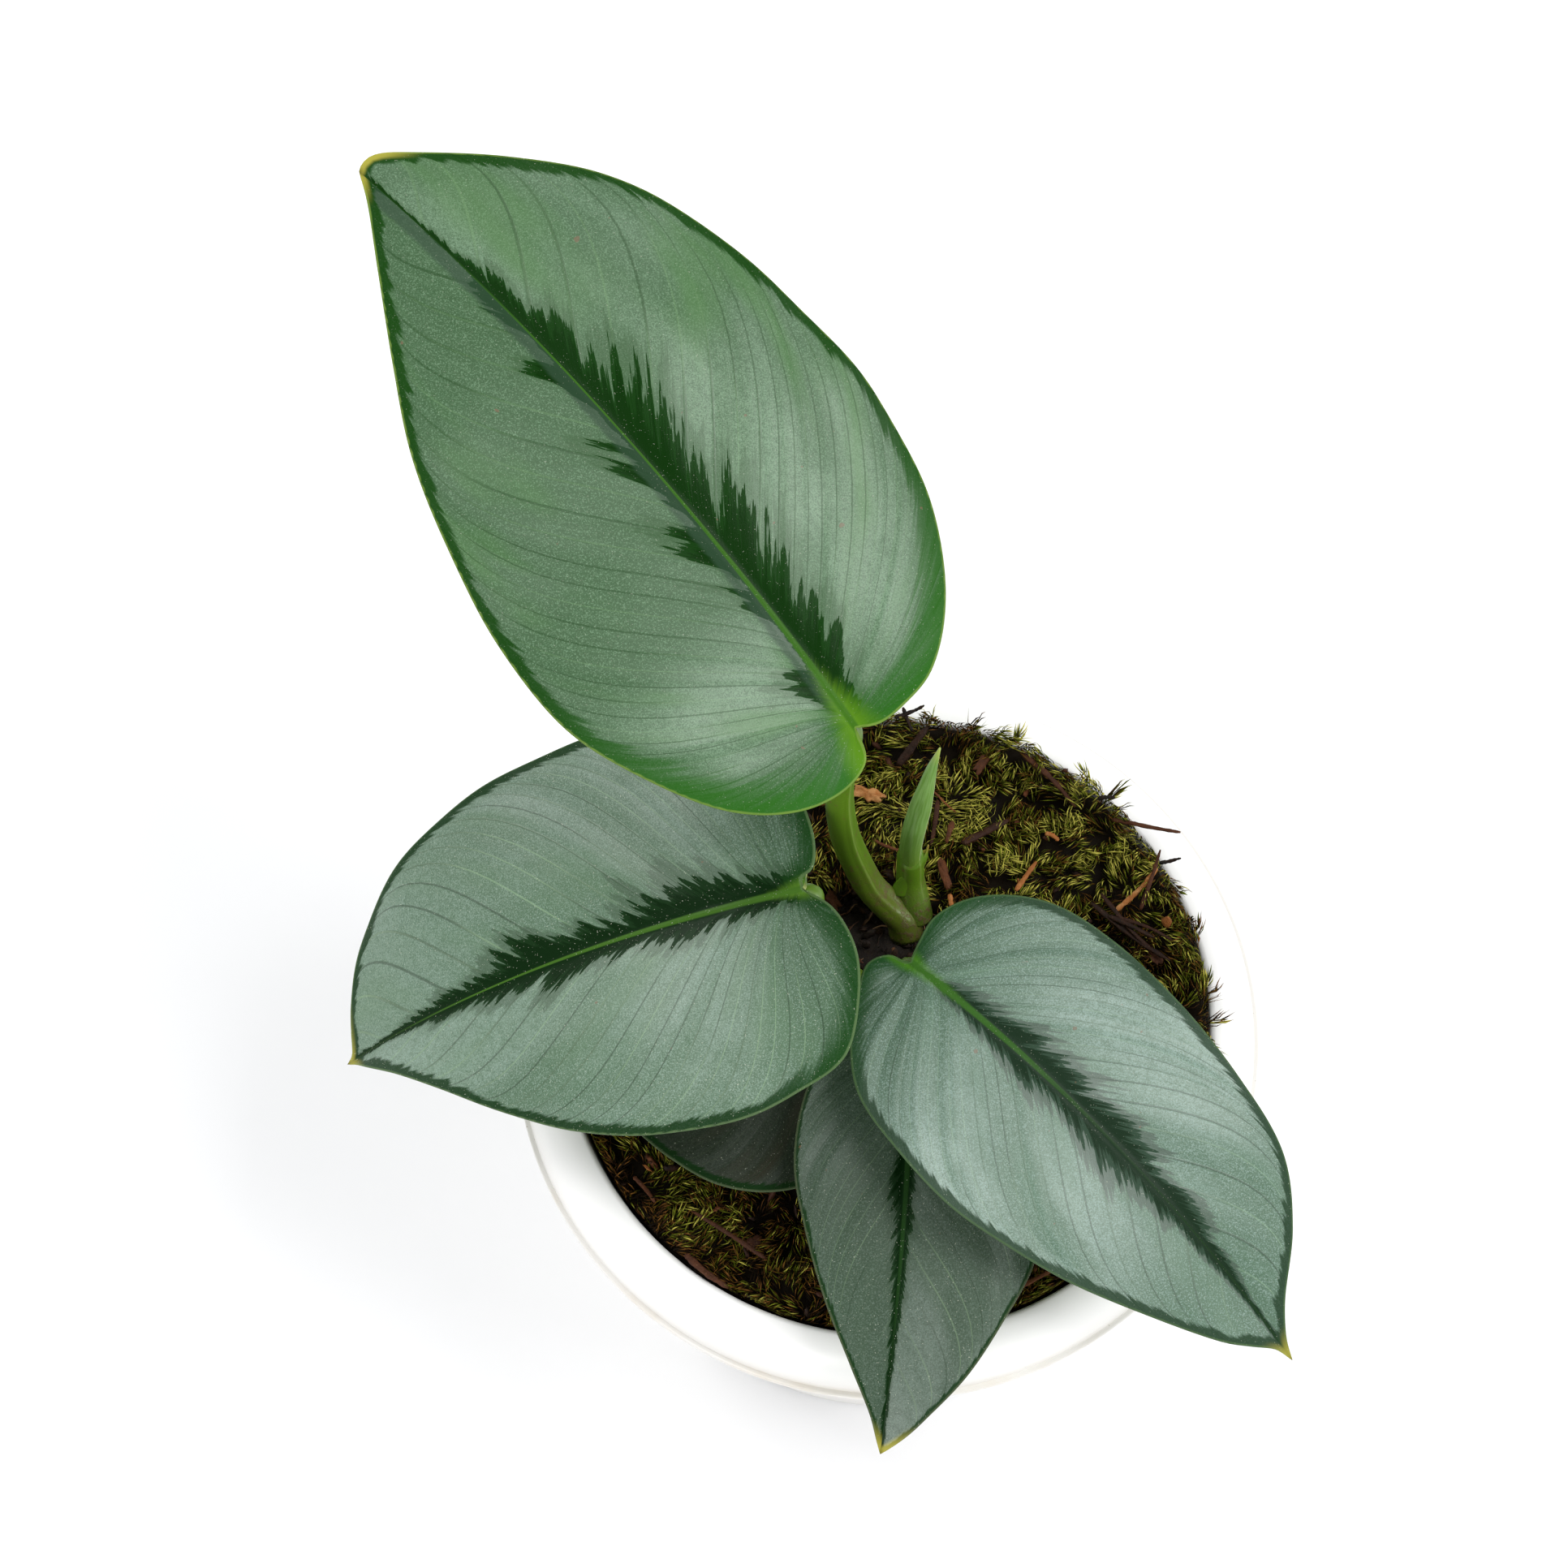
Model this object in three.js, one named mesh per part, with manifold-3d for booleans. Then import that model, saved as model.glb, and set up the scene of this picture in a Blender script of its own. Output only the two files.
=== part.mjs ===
// A small Scindapsus with five silvery leaves, planted in a white twelve-centimetre pot.
// Millimetres, +Z up. The origin is the centre of the pot's foot, and the front is -Y.

import * as THREE from 'three';
import { mergeVertices } from 'three/addons/utils/BufferGeometryUtils.js';
import Module from 'manifold-3d';

const wasm = await Module();
wasm.setup();

// Driving dimensions
const GAP = 0.3;
const POT_HEIGHT = 95;
const MOUTH_RADIUS = 53;
const COLLAR_RADIUS = 61;
const COLLAR_DROP = 7.7;
const LIP_RADIUS = 61.8;
const LIP_HEIGHT = 1.6;
const LIP_ROUNDING = 0.4;
const WALL = 2;
const FOOT_RADIUS = 43;
const FOOT_RING = 3;
const FOOT_PAD_RADIUS = 11;
const FLOOR_TOP = 5;
const FLOOR_UNDERSIDE = 2.5;
const FLOOR_CORNER = 3;
const SOIL_TOP = 90;
const STEM_RADIUS = 4.2;

const plant = new THREE.Group();

const degrees = THREE.MathUtils.degToRad;

function point(coordinates) {
  return new THREE.Vector3(...coordinates);
}

function finish(color, roughness) {
  return new THREE.MeshStandardMaterial({ color, roughness, metalness: 0 });
}

const finishes = {
  pot: finish(0xe9e8e4, 0.3),
  soil: finish(0x33261d, 0.95),
  moss: finish(0x6f7038, 0.95),
  stem: finish(0x7c9146, 0.5),
  blade: finish(0x78917f, 0.5),
  root: finish(0xb79c74, 0.8),
  litter: finish(0x7a4a33, 0.85),
};

function addPiece(name, geometry, material) {
  const mesh = new THREE.Mesh(geometry, material);
  mesh.name = name;
  plant.add(mesh);
}

// Closed bodies: one set of shared vertices, with every face turned outwards
function signedVolume(geometry) {
  const place = geometry.getAttribute('position');
  const index = geometry.getIndex();
  const corners = [new THREE.Vector3(), new THREE.Vector3(), new THREE.Vector3()];
  let volume = 0;
  for (let i = 0; i < index.count; i += 3) {
    corners.forEach((corner, k) => corner.fromBufferAttribute(place, index.getX(i + k)));
    volume += corners[0].dot(corners[1].cross(corners[2])) / 6;
  }
  return volume;
}

function closedBody(geometry) {
  const bare = geometry.clone();
  bare.deleteAttribute('normal');
  bare.deleteAttribute('uv');
  const merged = mergeVertices(bare, 1e-4);
  const index = Array.from(merged.getIndex().array);
  const kept = [];
  for (let i = 0; i < index.length; i += 3) {
    const [a, b, c] = index.slice(i, i + 3);
    if (a !== b && b !== c && c !== a) kept.push(a, b, c);
  }
  merged.setIndex(kept);
  if (signedVolume(merged) < 0) merged.setIndex(kept.reverse());
  return merged;
}

function toSolid(geometry) {
  const body = closedBody(geometry);
  return new wasm.Manifold(new wasm.Mesh({
    numProp: 3,
    vertProperties: new Float32Array(body.getAttribute('position').array),
    triVerts: new Uint32Array(body.getIndex().array),
  }));
}

function toGeometry(solid) {
  const mesh = solid.getMesh();
  const geometry = new THREE.BufferGeometry();
  geometry.setAttribute('position', new THREE.BufferAttribute(mesh.vertProperties, 3));
  geometry.setIndex(new THREE.BufferAttribute(mesh.triVerts, 1));
  return geometry;
}

// A turned body about the pot's axis, from (radius, height) pairs
function turned(profile, segments) {
  const points = profile.map(([radius, height]) => new THREE.Vector2(radius, height));
  return new THREE.LatheGeometry(points, segments).rotateX(Math.PI / 2);
}

// A round body whose radius changes along a curve, such as a petiole, a root or a twig.
// radii holds (fraction of the length, radius) pairs; grow makes the same body fatter.
function bentRod(route, radii, { sides = 10, steps = 10, grow = 0, lengthen = 0 } = {}) {
  const curve = new THREE.CatmullRomCurve3(route.map(point), false, 'centripetal');
  const frames = curve.computeFrenetFrames(steps, false);
  const radiusAt = (fraction) => {
    const next = Math.max(1, radii.findIndex(([place]) => place >= fraction));
    const [from, to] = [radii[next - 1], radii[next]];
    const share = (fraction - from[0]) / (to[0] - from[0]);
    return THREE.MathUtils.lerp(from[1], to[1], THREE.MathUtils.clamp(share, 0, 1)) + grow;
  };
  const positions = [];
  const faces = [];
  for (let i = 0; i <= steps; i += 1) {
    const centre = curve.getPointAt(i / steps);
    if (i === 0) centre.addScaledVector(frames.tangents[0], -lengthen);
    if (i === steps) centre.addScaledVector(frames.tangents[steps], lengthen);
    for (let k = 0; k < sides; k += 1) {
      const turn = (2 * Math.PI * k) / sides;
      const rim = centre.clone();
      rim.addScaledVector(frames.normals[i], radiusAt(i / steps) * Math.cos(turn));
      rim.addScaledVector(frames.binormals[i], radiusAt(i / steps) * Math.sin(turn));
      positions.push(rim.x, rim.y, rim.z);
    }
  }
  const ring = (i, k) => i * sides + (k % sides);
  for (let i = 0; i < steps; i += 1) {
    for (let k = 0; k < sides; k += 1) {
      faces.push(ring(i, k), ring(i, k + 1), ring(i + 1, k + 1));
      faces.push(ring(i, k), ring(i + 1, k + 1), ring(i + 1, k));
    }
  }
  for (let k = 1; k < sides - 1; k += 1) {
    faces.push(ring(0, 0), ring(0, k + 1), ring(0, k));
    faces.push(ring(steps, 0), ring(steps, k), ring(steps, k + 1));
  }
  const geometry = new THREE.BufferGeometry();
  geometry.setAttribute('position', new THREE.Float32BufferAttribute(positions, 3));
  geometry.setIndex(faces);
  return geometry;
}

// Pot: one moulding, with a rounded collar turned over the mouth, open below like a skirt
const lipBottom = POT_HEIGHT - COLLAR_DROP - LIP_HEIGHT;
const wallTopRadius = MOUTH_RADIUS + WALL;
const EDGE = 1;
const COLLAR_STEPS = 6;
const collar = [];
for (let step = COLLAR_STEPS; step >= 0; step -= 1) {
  const turn = (step / COLLAR_STEPS) * (Math.PI / 2);
  collar.push([
    MOUTH_RADIUS + EDGE + (COLLAR_RADIUS - MOUTH_RADIUS - EDGE) * Math.sin(turn),
    POT_HEIGHT - COLLAR_DROP * (1 - Math.cos(turn)),
  ]);
}
const footRingInside = FOOT_RADIUS - EDGE - FOOT_RING;
const skirtInside = COLLAR_RADIUS - WALL;
const potProfile = [
  [0, 0],
  [FOOT_PAD_RADIUS, 0],
  [FOOT_PAD_RADIUS + EDGE, FLOOR_UNDERSIDE],
  [footRingInside - EDGE, FLOOR_UNDERSIDE],
  [footRingInside, 0],
  [FOOT_RADIUS - EDGE, 0],
  [FOOT_RADIUS, EDGE],
  [wallTopRadius, lipBottom + WALL],
  [wallTopRadius + EDGE, POT_HEIGHT - WALL - EDGE],
  [skirtInside - EDGE, POT_HEIGHT - COLLAR_DROP + WALL],
  [skirtInside, lipBottom],
  [LIP_RADIUS - LIP_ROUNDING, lipBottom],
  [LIP_RADIUS, lipBottom + LIP_ROUNDING],
  [LIP_RADIUS, lipBottom + LIP_HEIGHT - LIP_ROUNDING],
  ...collar,
  [MOUTH_RADIUS, POT_HEIGHT - EDGE],
  [FOOT_RADIUS - WALL, FLOOR_TOP + FLOOR_CORNER],
  [FOOT_RADIUS - WALL - FLOOR_CORNER, FLOOR_TOP],
  [0, FLOOR_TOP],
];
const DRAIN_HOLES = 6;
const DRAIN_RADIUS = 3.5;
const DRAIN_CIRCLE = 25;
const POT_SEGMENTS = 64;
let potSolid = toSolid(turned(potProfile, POT_SEGMENTS));
for (let i = 0; i < DRAIN_HOLES; i += 1) {
  const turn = (2 * Math.PI * i) / DRAIN_HOLES;
  const drill = new THREE.CylinderGeometry(DRAIN_RADIUS, DRAIN_RADIUS, 3 * FLOOR_TOP, 16);
  drill.rotateX(Math.PI / 2);
  drill.translate(DRAIN_CIRCLE * Math.cos(turn), DRAIN_CIRCLE * Math.sin(turn), 0);
  potSolid = potSolid.subtract(toSolid(drill));
}
addPiece('pot', toGeometry(potSolid), finishes.pot);

// Creeping stem: lies just under the surface and turns up at its growing end
const STEM_ROUTE = [
  [6, -21, 77],
  [5, -15, 84],
  [4, -8, 86.6],
  [3.5, 0, 86.9],
  [3.2, 7, 86.9],
  [3.2, 12, 87.2],
  [3.3, 15, 88.6],
];
const STEM_RADII = [[0, 3.4], [0.3, STEM_RADIUS], [1, STEM_RADIUS]];
const stem = (grow, lengthen) => bentRod(STEM_ROUTE, STEM_RADII, { steps: 16, grow, lengthen });
const stemSpace = toSolid(stem(GAP, GAP));
addPiece('main_stem', closedBody(stem(0, 0)), finishes.stem);

// Leaves: the petiole leaves the stem at a node, and the blade is drawn flat from its junction
// with the petiole: x along the midrib, y out to the left and right margins
const LEAVES = {
  crown: {
    petiole: [
      [3.3, 16, 91.6], [2.6, 17.6, 94.5], [-0.2, 19.1, 98], [-3, 20.2, 103], [-4.9, 21.3, 109],
      [-7.1, 22.5, 119], [-8.1, 23, 129], [-8.4, 23.9, 138], [-7.8, 25.5, 147],
    ],
    radii: [
      [0, 2.9], [0.06, 2.8], [0.12, 2.6], [0.2, 2.4], [0.5, 2.3], [0.85, 2.2], [0.93, 2.1],
      [1, 1.4],
    ],
    base: [-6, 27.6, 155],
    heading: 128.4,
    turn: 9.7,
    pitch: [22, 6],
    length: 116,
    left: [
      [0, 0], [-4.8, 1.7], [-6.6, 6.9], [-5.2, 14.8], [0.9, 23.7], [13.8, 32], [27.6, 36.8],
      [45, 36.6], [61.1, 33], [76.2, 27.5], [89.2, 19.4], [102.1, 10.1], [111.8, 2.7], [116, 0],
    ],
    right: [
      [0, 0], [-1.5, 3.5], [-1.3, 8.5], [0.4, 14.7], [9.1, 24.6], [21.4, 31.6], [38.2, 35],
      [57, 34.4], [74.9, 32.5], [89.8, 26.6], [100.8, 17.8], [110.9, 8.9], [115.5, 4.4],
      [116.4, 2.8], [116.5, 1.2], [116, 0],
    ],
  },
  left: {
    petiole: [
      [3.1, 6.4, 87.2], [-1.5, 3.8, 93], [-6.7, 4.7, 101], [-11.3, 5.9, 111], [-14.3, 7.2, 121.5],
    ],
    radii: [[0, 3.2], [0.2, 2.8], [0.5, 2.2], [0.85, 2], [0.93, 2], [1, 1.4]],
    base: [-14.2, 8.5, 135],
    heading: 187,
    turn: 3.8,
    pitch: [-18, -53],
    length: 96,
    left: [
      [0, 0], [-4.7, 4.6], [-7.6, 12.4], [-6.9, 20.3], [-3.3, 28.7], [5.6, 32.8], [15, 34.7],
      [30.5, 33.4], [44.6, 28.9], [58.1, 21.8], [72, 12.9], [82.3, 6.7], [89.9, 2.8], [93.2, 1.1],
      [96, 0],
    ],
    right: [
      [0, 0], [0, 1.7], [-2, 2.7], [-2.9, 4.9], [-3.1, 8.9], [-1.2, 16.6], [4.1, 25.8], [16.4, 33],
      [31.3, 35.2], [47.4, 34.4], [62.5, 31], [76.4, 25.1], [86.3, 16.7], [91, 8.4], [93.3, 2.1],
      [94.2, 0.8], [96, 0],
    ],
  },
  right: {
    petiole: [
      [3.6, -2.8, 86.8], [4.6, -2.4, 93], [6.2, -0.1, 102], [6.2, 0.2, 111], [5.1, -0.3, 118],
    ],
    radii: [[0, 3.1], [0.2, 2.7], [0.5, 2.1], [0.85, 1.9], [0.92, 1.9], [1, 1.3]],
    base: [2.9, -0.2, 125],
    heading: -38.2,
    turn: -12.6,
    pitch: [-3, -26],
    length: 88,
    left: [
      [0, 0], [-0.9, 3.4], [-1.4, 8.1], [1.8, 14.9], [10, 21.4], [21.8, 23.8], [37.2, 23.3],
      [49.9, 21.8], [62.7, 19], [71.4, 12.9], [79.3, 4.8], [83.3, 1.9], [85.3, 0.9], [88, 0],
    ],
    right: [
      [0, 0], [-0.7, 0.6], [-3.2, 1.3], [-5, 4.7], [-3.1, 9.8], [0.2, 15.9], [7.1, 22.4],
      [19.5, 25.6], [30.7, 26.2], [41.8, 24.3], [54.6, 20.4], [67.4, 14.2], [78.1, 7.6],
      [81.6, 4.4], [84.7, 1.3], [86.1, 0.6], [88, 0],
    ],
  },
  front: {
    petiole: [
      [4.2, -9, 86.8], [3.6, -9.6, 93], [2.2, -10.6, 101], [2.4, -8.6, 108],
    ],
    radii: [[0, 3.2], [0.25, 2.6], [0.5, 2.1], [0.8, 2], [0.9, 2.2], [1, 1.2]],
    base: [3.5, -7, 114],
    heading: -91.5,
    turn: -6.5,
    pitch: [0, -28],
    length: 69,
    left: [
      [0, 0], [-3, 4], [-3.6, 10], [1.9, 16], [11.7, 20.6], [24.6, 22.3], [36.6, 21.1], [45.9, 17],
      [54.8, 12.2], [61.8, 6.9], [65, 4.3], [67.2, 2.1], [69, 0],
    ],
    right: [
      [0, 0], [-3, 4], [-1.9, 9], [5.1, 14], [14.2, 17.3], [24.3, 18], [34.3, 15.6], [45.3, 11.5],
      [55.3, 6.4], [63.1, 2.3], [66.5, 1], [69, 0],
    ],
  },
  low: {
    petiole: [
      [4.9, -15.4, 83.6], [2.3, -17, 90], [-1.5, -17.6, 98], [-3.4, -15.4, 101.6],
    ],
    radii: [[0, 2.9], [0.25, 2.2], [0.5, 1.8], [0.8, 1.7], [0.92, 1.9], [1, 1.2]],
    base: [-6, -13, 105.2],
    heading: 178,
    turn: 4,
    pitch: [-2, -10],
    length: 44,
    left: [
      [0, 0], [-3, 3.5], [-3.5, 9], [2, 16.4], [12, 19.9], [21.2, 18.7], [29.4, 13.9], [36, 8],
      [41, 3], [44, 0],
    ],
    right: [
      [0, 0], [-3, 3.5], [-3.5, 8.5], [2, 14.5], [12, 17.8], [21, 17], [29, 13], [36, 8], [41, 3],
      [44, 0],
    ],
  },
};

// Blades: leathery, folded a little along the midrib, with their margins curled down.
// Across the blade every row of points follows one side vein, from midrib to margin.
const FOLD = degrees(8);
const CURL = degrees(-14) / 33;
const BLADE_THICKNESS = 0.9;
const VEIN_ROWS = 22;
const VEIN_STEPS = 6;
const VEIN_START_POWER = 2.4;
const VEIN_BEND = { along: 0.25, across: 0.6 };

function bladeSurface(leaf) {
  const STEPS = 100;
  const anglesAt = (share) => [
    degrees(leaf.heading + leaf.turn * share),
    degrees(THREE.MathUtils.lerp(leaf.pitch[0], leaf.pitch[1], share)),
  ];
  const alongAt = (share) => {
    const [heading, pitch] = anglesAt(share);
    return new THREE.Vector3(
      Math.cos(pitch) * Math.cos(heading),
      Math.cos(pitch) * Math.sin(heading),
      Math.sin(pitch),
    );
  };
  const midrib = [point(leaf.base)];
  for (let i = 0; i < STEPS; i += 1) {
    const along = alongAt((i + 0.5) / STEPS);
    midrib.push(midrib[i].clone().addScaledVector(along, leaf.length / STEPS));
  }
  return (x, y) => {
    const share = THREE.MathUtils.clamp(x / leaf.length, 0, 1);
    const along = alongAt(share);
    const [heading] = anglesAt(share);
    const across = new THREE.Vector3(-Math.sin(heading), Math.cos(heading), 0);
    const up = new THREE.Vector3().crossVectors(along, across);
    const whole = Math.min(STEPS - 1, Math.floor(share * STEPS));
    const place = midrib[whole].clone().lerp(midrib[whole + 1], share * STEPS - whole);
    place.addScaledVector(along, x - share * leaf.length);
    const side = Math.abs(y);
    const angle = FOLD + CURL * side;
    const reach = (Math.sin(angle) - Math.sin(FOLD)) / CURL;
    const lift = (Math.cos(FOLD) - Math.cos(angle)) / CURL;
    place.addScaledVector(across, Math.sign(y) * reach).addScaledVector(up, lift);
    const normal = up.clone().multiplyScalar(Math.cos(angle));
    normal.addScaledVector(across, -Math.sign(y) * Math.sin(angle));
    return { place, normal };
  };
}

function bladeGeometry(leaf) {
  const surface = bladeSurface(leaf);
  const margin = (stations, sign) => new THREE.CatmullRomCurve3(
    stations.map(([x, y]) => new THREE.Vector3(x, sign * y, 0)), false, 'centripetal',
  );
  const margins = { left: margin(leaf.left, 1), right: margin(leaf.right, -1) };
  const positions = [];
  const faces = [];
  const addPoint = (place) => positions.push(place.x, place.y, place.z) / 3 - 1;
  const junction = addPoint(surface(0, 0).place);
  const tip = addPoint(surface(leaf.length, 0).place);
  const vein = (side, share, step) => {
    const end = margins[side].getPointAt(share);
    const start = leaf.length * share ** VEIN_START_POWER;
    const bendX = start + VEIN_BEND.along * (end.x - start);
    const bendY = VEIN_BEND.across * end.y;
    const t = step / VEIN_STEPS;
    const x = (1 - t) ** 2 * start + 2 * t * (1 - t) * bendX + t ** 2 * end.x;
    return [x, 2 * t * (1 - t) * bendY + t ** 2 * end.y];
  };
  const rings = [];
  for (let row = 1; row < VEIN_ROWS; row += 1) {
    const share = row / VEIN_ROWS;
    const top = [];
    const bottom = [];
    for (let step = -VEIN_STEPS; step <= VEIN_STEPS; step += 1) {
      const side = step < 0 ? 'left' : 'right';
      const { place, normal } = surface(...vein(side, share, Math.abs(step)));
      const edge = Math.abs(step) / VEIN_STEPS;
      const narrow = Math.min(1, row / 2, (VEIN_ROWS - row) / 2);
      const half = (BLADE_THICKNESS / 2) * narrow * Math.sqrt(1 - edge ** 6);
      if (edge === 1) {
        top.push(addPoint(place));
        bottom.push(top[top.length - 1]);
      } else {
        top.push(addPoint(place.clone().addScaledVector(normal, half)));
        bottom.push(addPoint(place.clone().addScaledVector(normal, -half)));
      }
    }
    rings.push([...top, ...bottom.slice(1, -1).reverse()]);
  }
  const count = rings[0].length;
  for (let k = 0; k < count; k += 1) {
    const next = (k + 1) % count;
    faces.push(junction, rings[0][k], rings[0][next]);
    faces.push(tip, rings[rings.length - 1][next], rings[rings.length - 1][k]);
    for (let i = 0; i + 1 < rings.length; i += 1) {
      faces.push(rings[i][k], rings[i + 1][k], rings[i + 1][next]);
      faces.push(rings[i][k], rings[i + 1][next], rings[i][next]);
    }
  }
  const geometry = new THREE.BufferGeometry();
  geometry.setAttribute('position', new THREE.Float32BufferAttribute(positions, 3));
  geometry.setIndex(faces);
  return geometry;
}

for (const [name, leaf] of Object.entries(LEAVES)) {
  addPiece(`blade_${name}`, closedBody(bladeGeometry(leaf)), finishes.blade);
}

// Each petiole runs on under the start of its midrib, so that the blade rests on its end
const SEAT_AHEAD = 3.5;
const SEAT_DIP = 2;
const petioles = Object.fromEntries(Object.entries(LEAVES).map(([name, leaf]) => {
  const surface = bladeSurface(leaf);
  const endRadius = leaf.radii[leaf.radii.length - 1][1];
  const drop = BLADE_THICKNESS / 2 + GAP + endRadius;
  const seats = [[0, drop + SEAT_DIP], [SEAT_AHEAD, drop]].map(([x, depth]) => {
    const { place, normal } = surface(x, 0);
    return place.addScaledVector(normal, -depth).toArray();
  });
  return [name, (grow) => bentRod([...leaf.petiole, ...seats], leaf.radii, { steps: 14, grow })];
}));
for (const [name, rod] of Object.entries(petioles)) {
  addPiece(`petiole_${name}`, toGeometry(toSolid(rod(0)).subtract(stemSpace)), finishes.stem);
}

// New shoot: an open sheath at the growing end, and the next leaf rolled up inside it
const SHEATH_ROUTE = [
  [5.5, 18.6, 94], [4.8, 20.3, 96.8], [3.9, 22.4, 100.5], [3.7, 23.3, 104], [3.6, 24.2, 109.5],
];
const ROLLED_ROUTE = [
  [3.7, 23.5, 105], [3.6, 24.4, 111], [4, 25.5, 116], [4.8, 27.1, 121], [5.6, 28.3, 127],
  [6.4, 29.5, 133], [7.5, 30.6, 139],
];
const SHEATH_RADII = [[0, 3], [0.3, 2.6], [0.6, 2.35], [1, 2.3]];
const ROLLED_RADII = [
  [0, 1.5], [0.2, 1.75], [0.35, 1.8], [0.5, 1.7], [0.67, 1.25], [0.83, 0.8], [1, 0.25],
];
const rolled = (grow) => bentRod(ROLLED_ROUTE, ROLLED_RADII, { steps: 12, grow, lengthen: grow });
const sheath = toSolid(bentRod(SHEATH_ROUTE, SHEATH_RADII, { steps: 6, sides: 12 }))
  .subtract(stemSpace)
  .subtract(toSolid(petioles.crown(GAP)))
  .subtract(toSolid(rolled(GAP)));
addPiece('shoot_sheath', toGeometry(sheath), finishes.stem);
addPiece('rolled_leaf', closedBody(rolled(0)), finishes.stem);

// Roots: leave the underside of the stem and wander down through the potting mix
const ROOT_RADII = [[0, 1.3], [0.5, 1], [1, 0.5]];
const ROOT_ROUTES = [
  [[3, 7, 83], [-2, 12, 70], [-9, 18, 55], [-14, 27, 38], [-12, 32, 22]],
  [[3.3, 3, 82.6], [9, 7, 70], [19, 10, 57], [26, 17, 42], [27, 24, 30]],
  [[3.6, -2, 82.6], [-6, -4, 72], [-17, -3, 58], [-26, -8, 44], [-31, -6, 30]],
  [[3.9, -6, 82.4], [10, -8, 68], [16, -6, 50], [14, -12, 32], [8, -14, 16]],
  [[4.2, -10, 82], [0, -18, 70], [-8, -26, 55], [-10, -32, 38], [-4, -34, 20]],
  [[5, -15, 79.2], [13, -20, 68], [22, -27, 54], [24, -33, 40], [20, -35, 26]],
];
const root = (route, grow) => bentRod(route, ROOT_RADII, {
  sides: 6, steps: 9, grow, lengthen: grow,
});
const rootSolids = ROOT_ROUTES.map((route) => toSolid(root(route, 0)).subtract(stemSpace));
rootSolids.forEach((solid, i) => {
  addPiece(`root_${i + 1}`, toGeometry(solid), finishes.root);
});

// Potting mix: fills the pot to five millimetres under the rim, around stem and roots
const cornerHeight = FLOOR_TOP + FLOOR_CORNER;
const soilRadius = (height) => THREE.MathUtils.mapLinear(
  height, cornerHeight, POT_HEIGHT - EDGE, FOOT_RADIUS - WALL, MOUTH_RADIUS,
) - GAP;
let soil = toSolid(turned([
  [0, FLOOR_TOP + GAP],
  [FOOT_RADIUS - WALL - FLOOR_CORNER - GAP, FLOOR_TOP + GAP],
  [soilRadius(cornerHeight + GAP), cornerHeight + GAP],
  [soilRadius(SOIL_TOP), SOIL_TOP],
  [0, SOIL_TOP],
], POT_SEGMENTS));
const plantSpaces = [
  stemSpace,
  toSolid(bentRod(SHEATH_ROUTE, SHEATH_RADII, { steps: 6, sides: 12, grow: GAP, lengthen: GAP })),
  ...Object.values(petioles).map((rod) => toSolid(rod(GAP))),
];
const rootSpaces = ROOT_ROUTES.map((route) => toSolid(root(route, GAP)));
for (const space of [...plantSpaces, ...rootSpaces]) soil = soil.subtract(space);
addPiece('potting_mix', toGeometry(soil), finishes.soil);

// Moss: six cushions laid around the stem, bumpy on top and lower towards the rim
const MOSS_EDGE_TOP = 94;
const MOSS_DOME = 2.4;
const MOSS_BUMP = 0.6;
function mossHeight(x, y) {
  const dome = MOSS_DOME * (1 - (x * x + y * y) / MOUTH_RADIUS ** 2);
  const bumps = Math.sin(x * 0.33 + 1) * Math.cos(y * 0.29) + Math.sin(0.21 * (x - y) + 2);
  return MOSS_EDGE_TOP + dome + MOSS_BUMP * bumps;
}

const MOSS_BOTTOM = SOIL_TOP + GAP;
const MOSS_RADIUS = soilRadius(SOIL_TOP) - 0.2;
const MOSS_SHOULDER = 1.5;
const HOLLOW = { x: -1, y: 4, width: 15, depth: 21 };
function mossRing(angle, share) {
  const inner = 1 + 0.1 * Math.sin(3 * angle + 1);
  const from = [
    HOLLOW.x + HOLLOW.width * inner * Math.cos(angle),
    HOLLOW.y + HOLLOW.depth * inner * Math.sin(angle),
  ];
  const to = [MOSS_RADIUS * Math.cos(angle), MOSS_RADIUS * Math.sin(angle)];
  return [THREE.MathUtils.lerp(from[0], to[0], share), THREE.MathUtils.lerp(from[1], to[1], share)];
}

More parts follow.
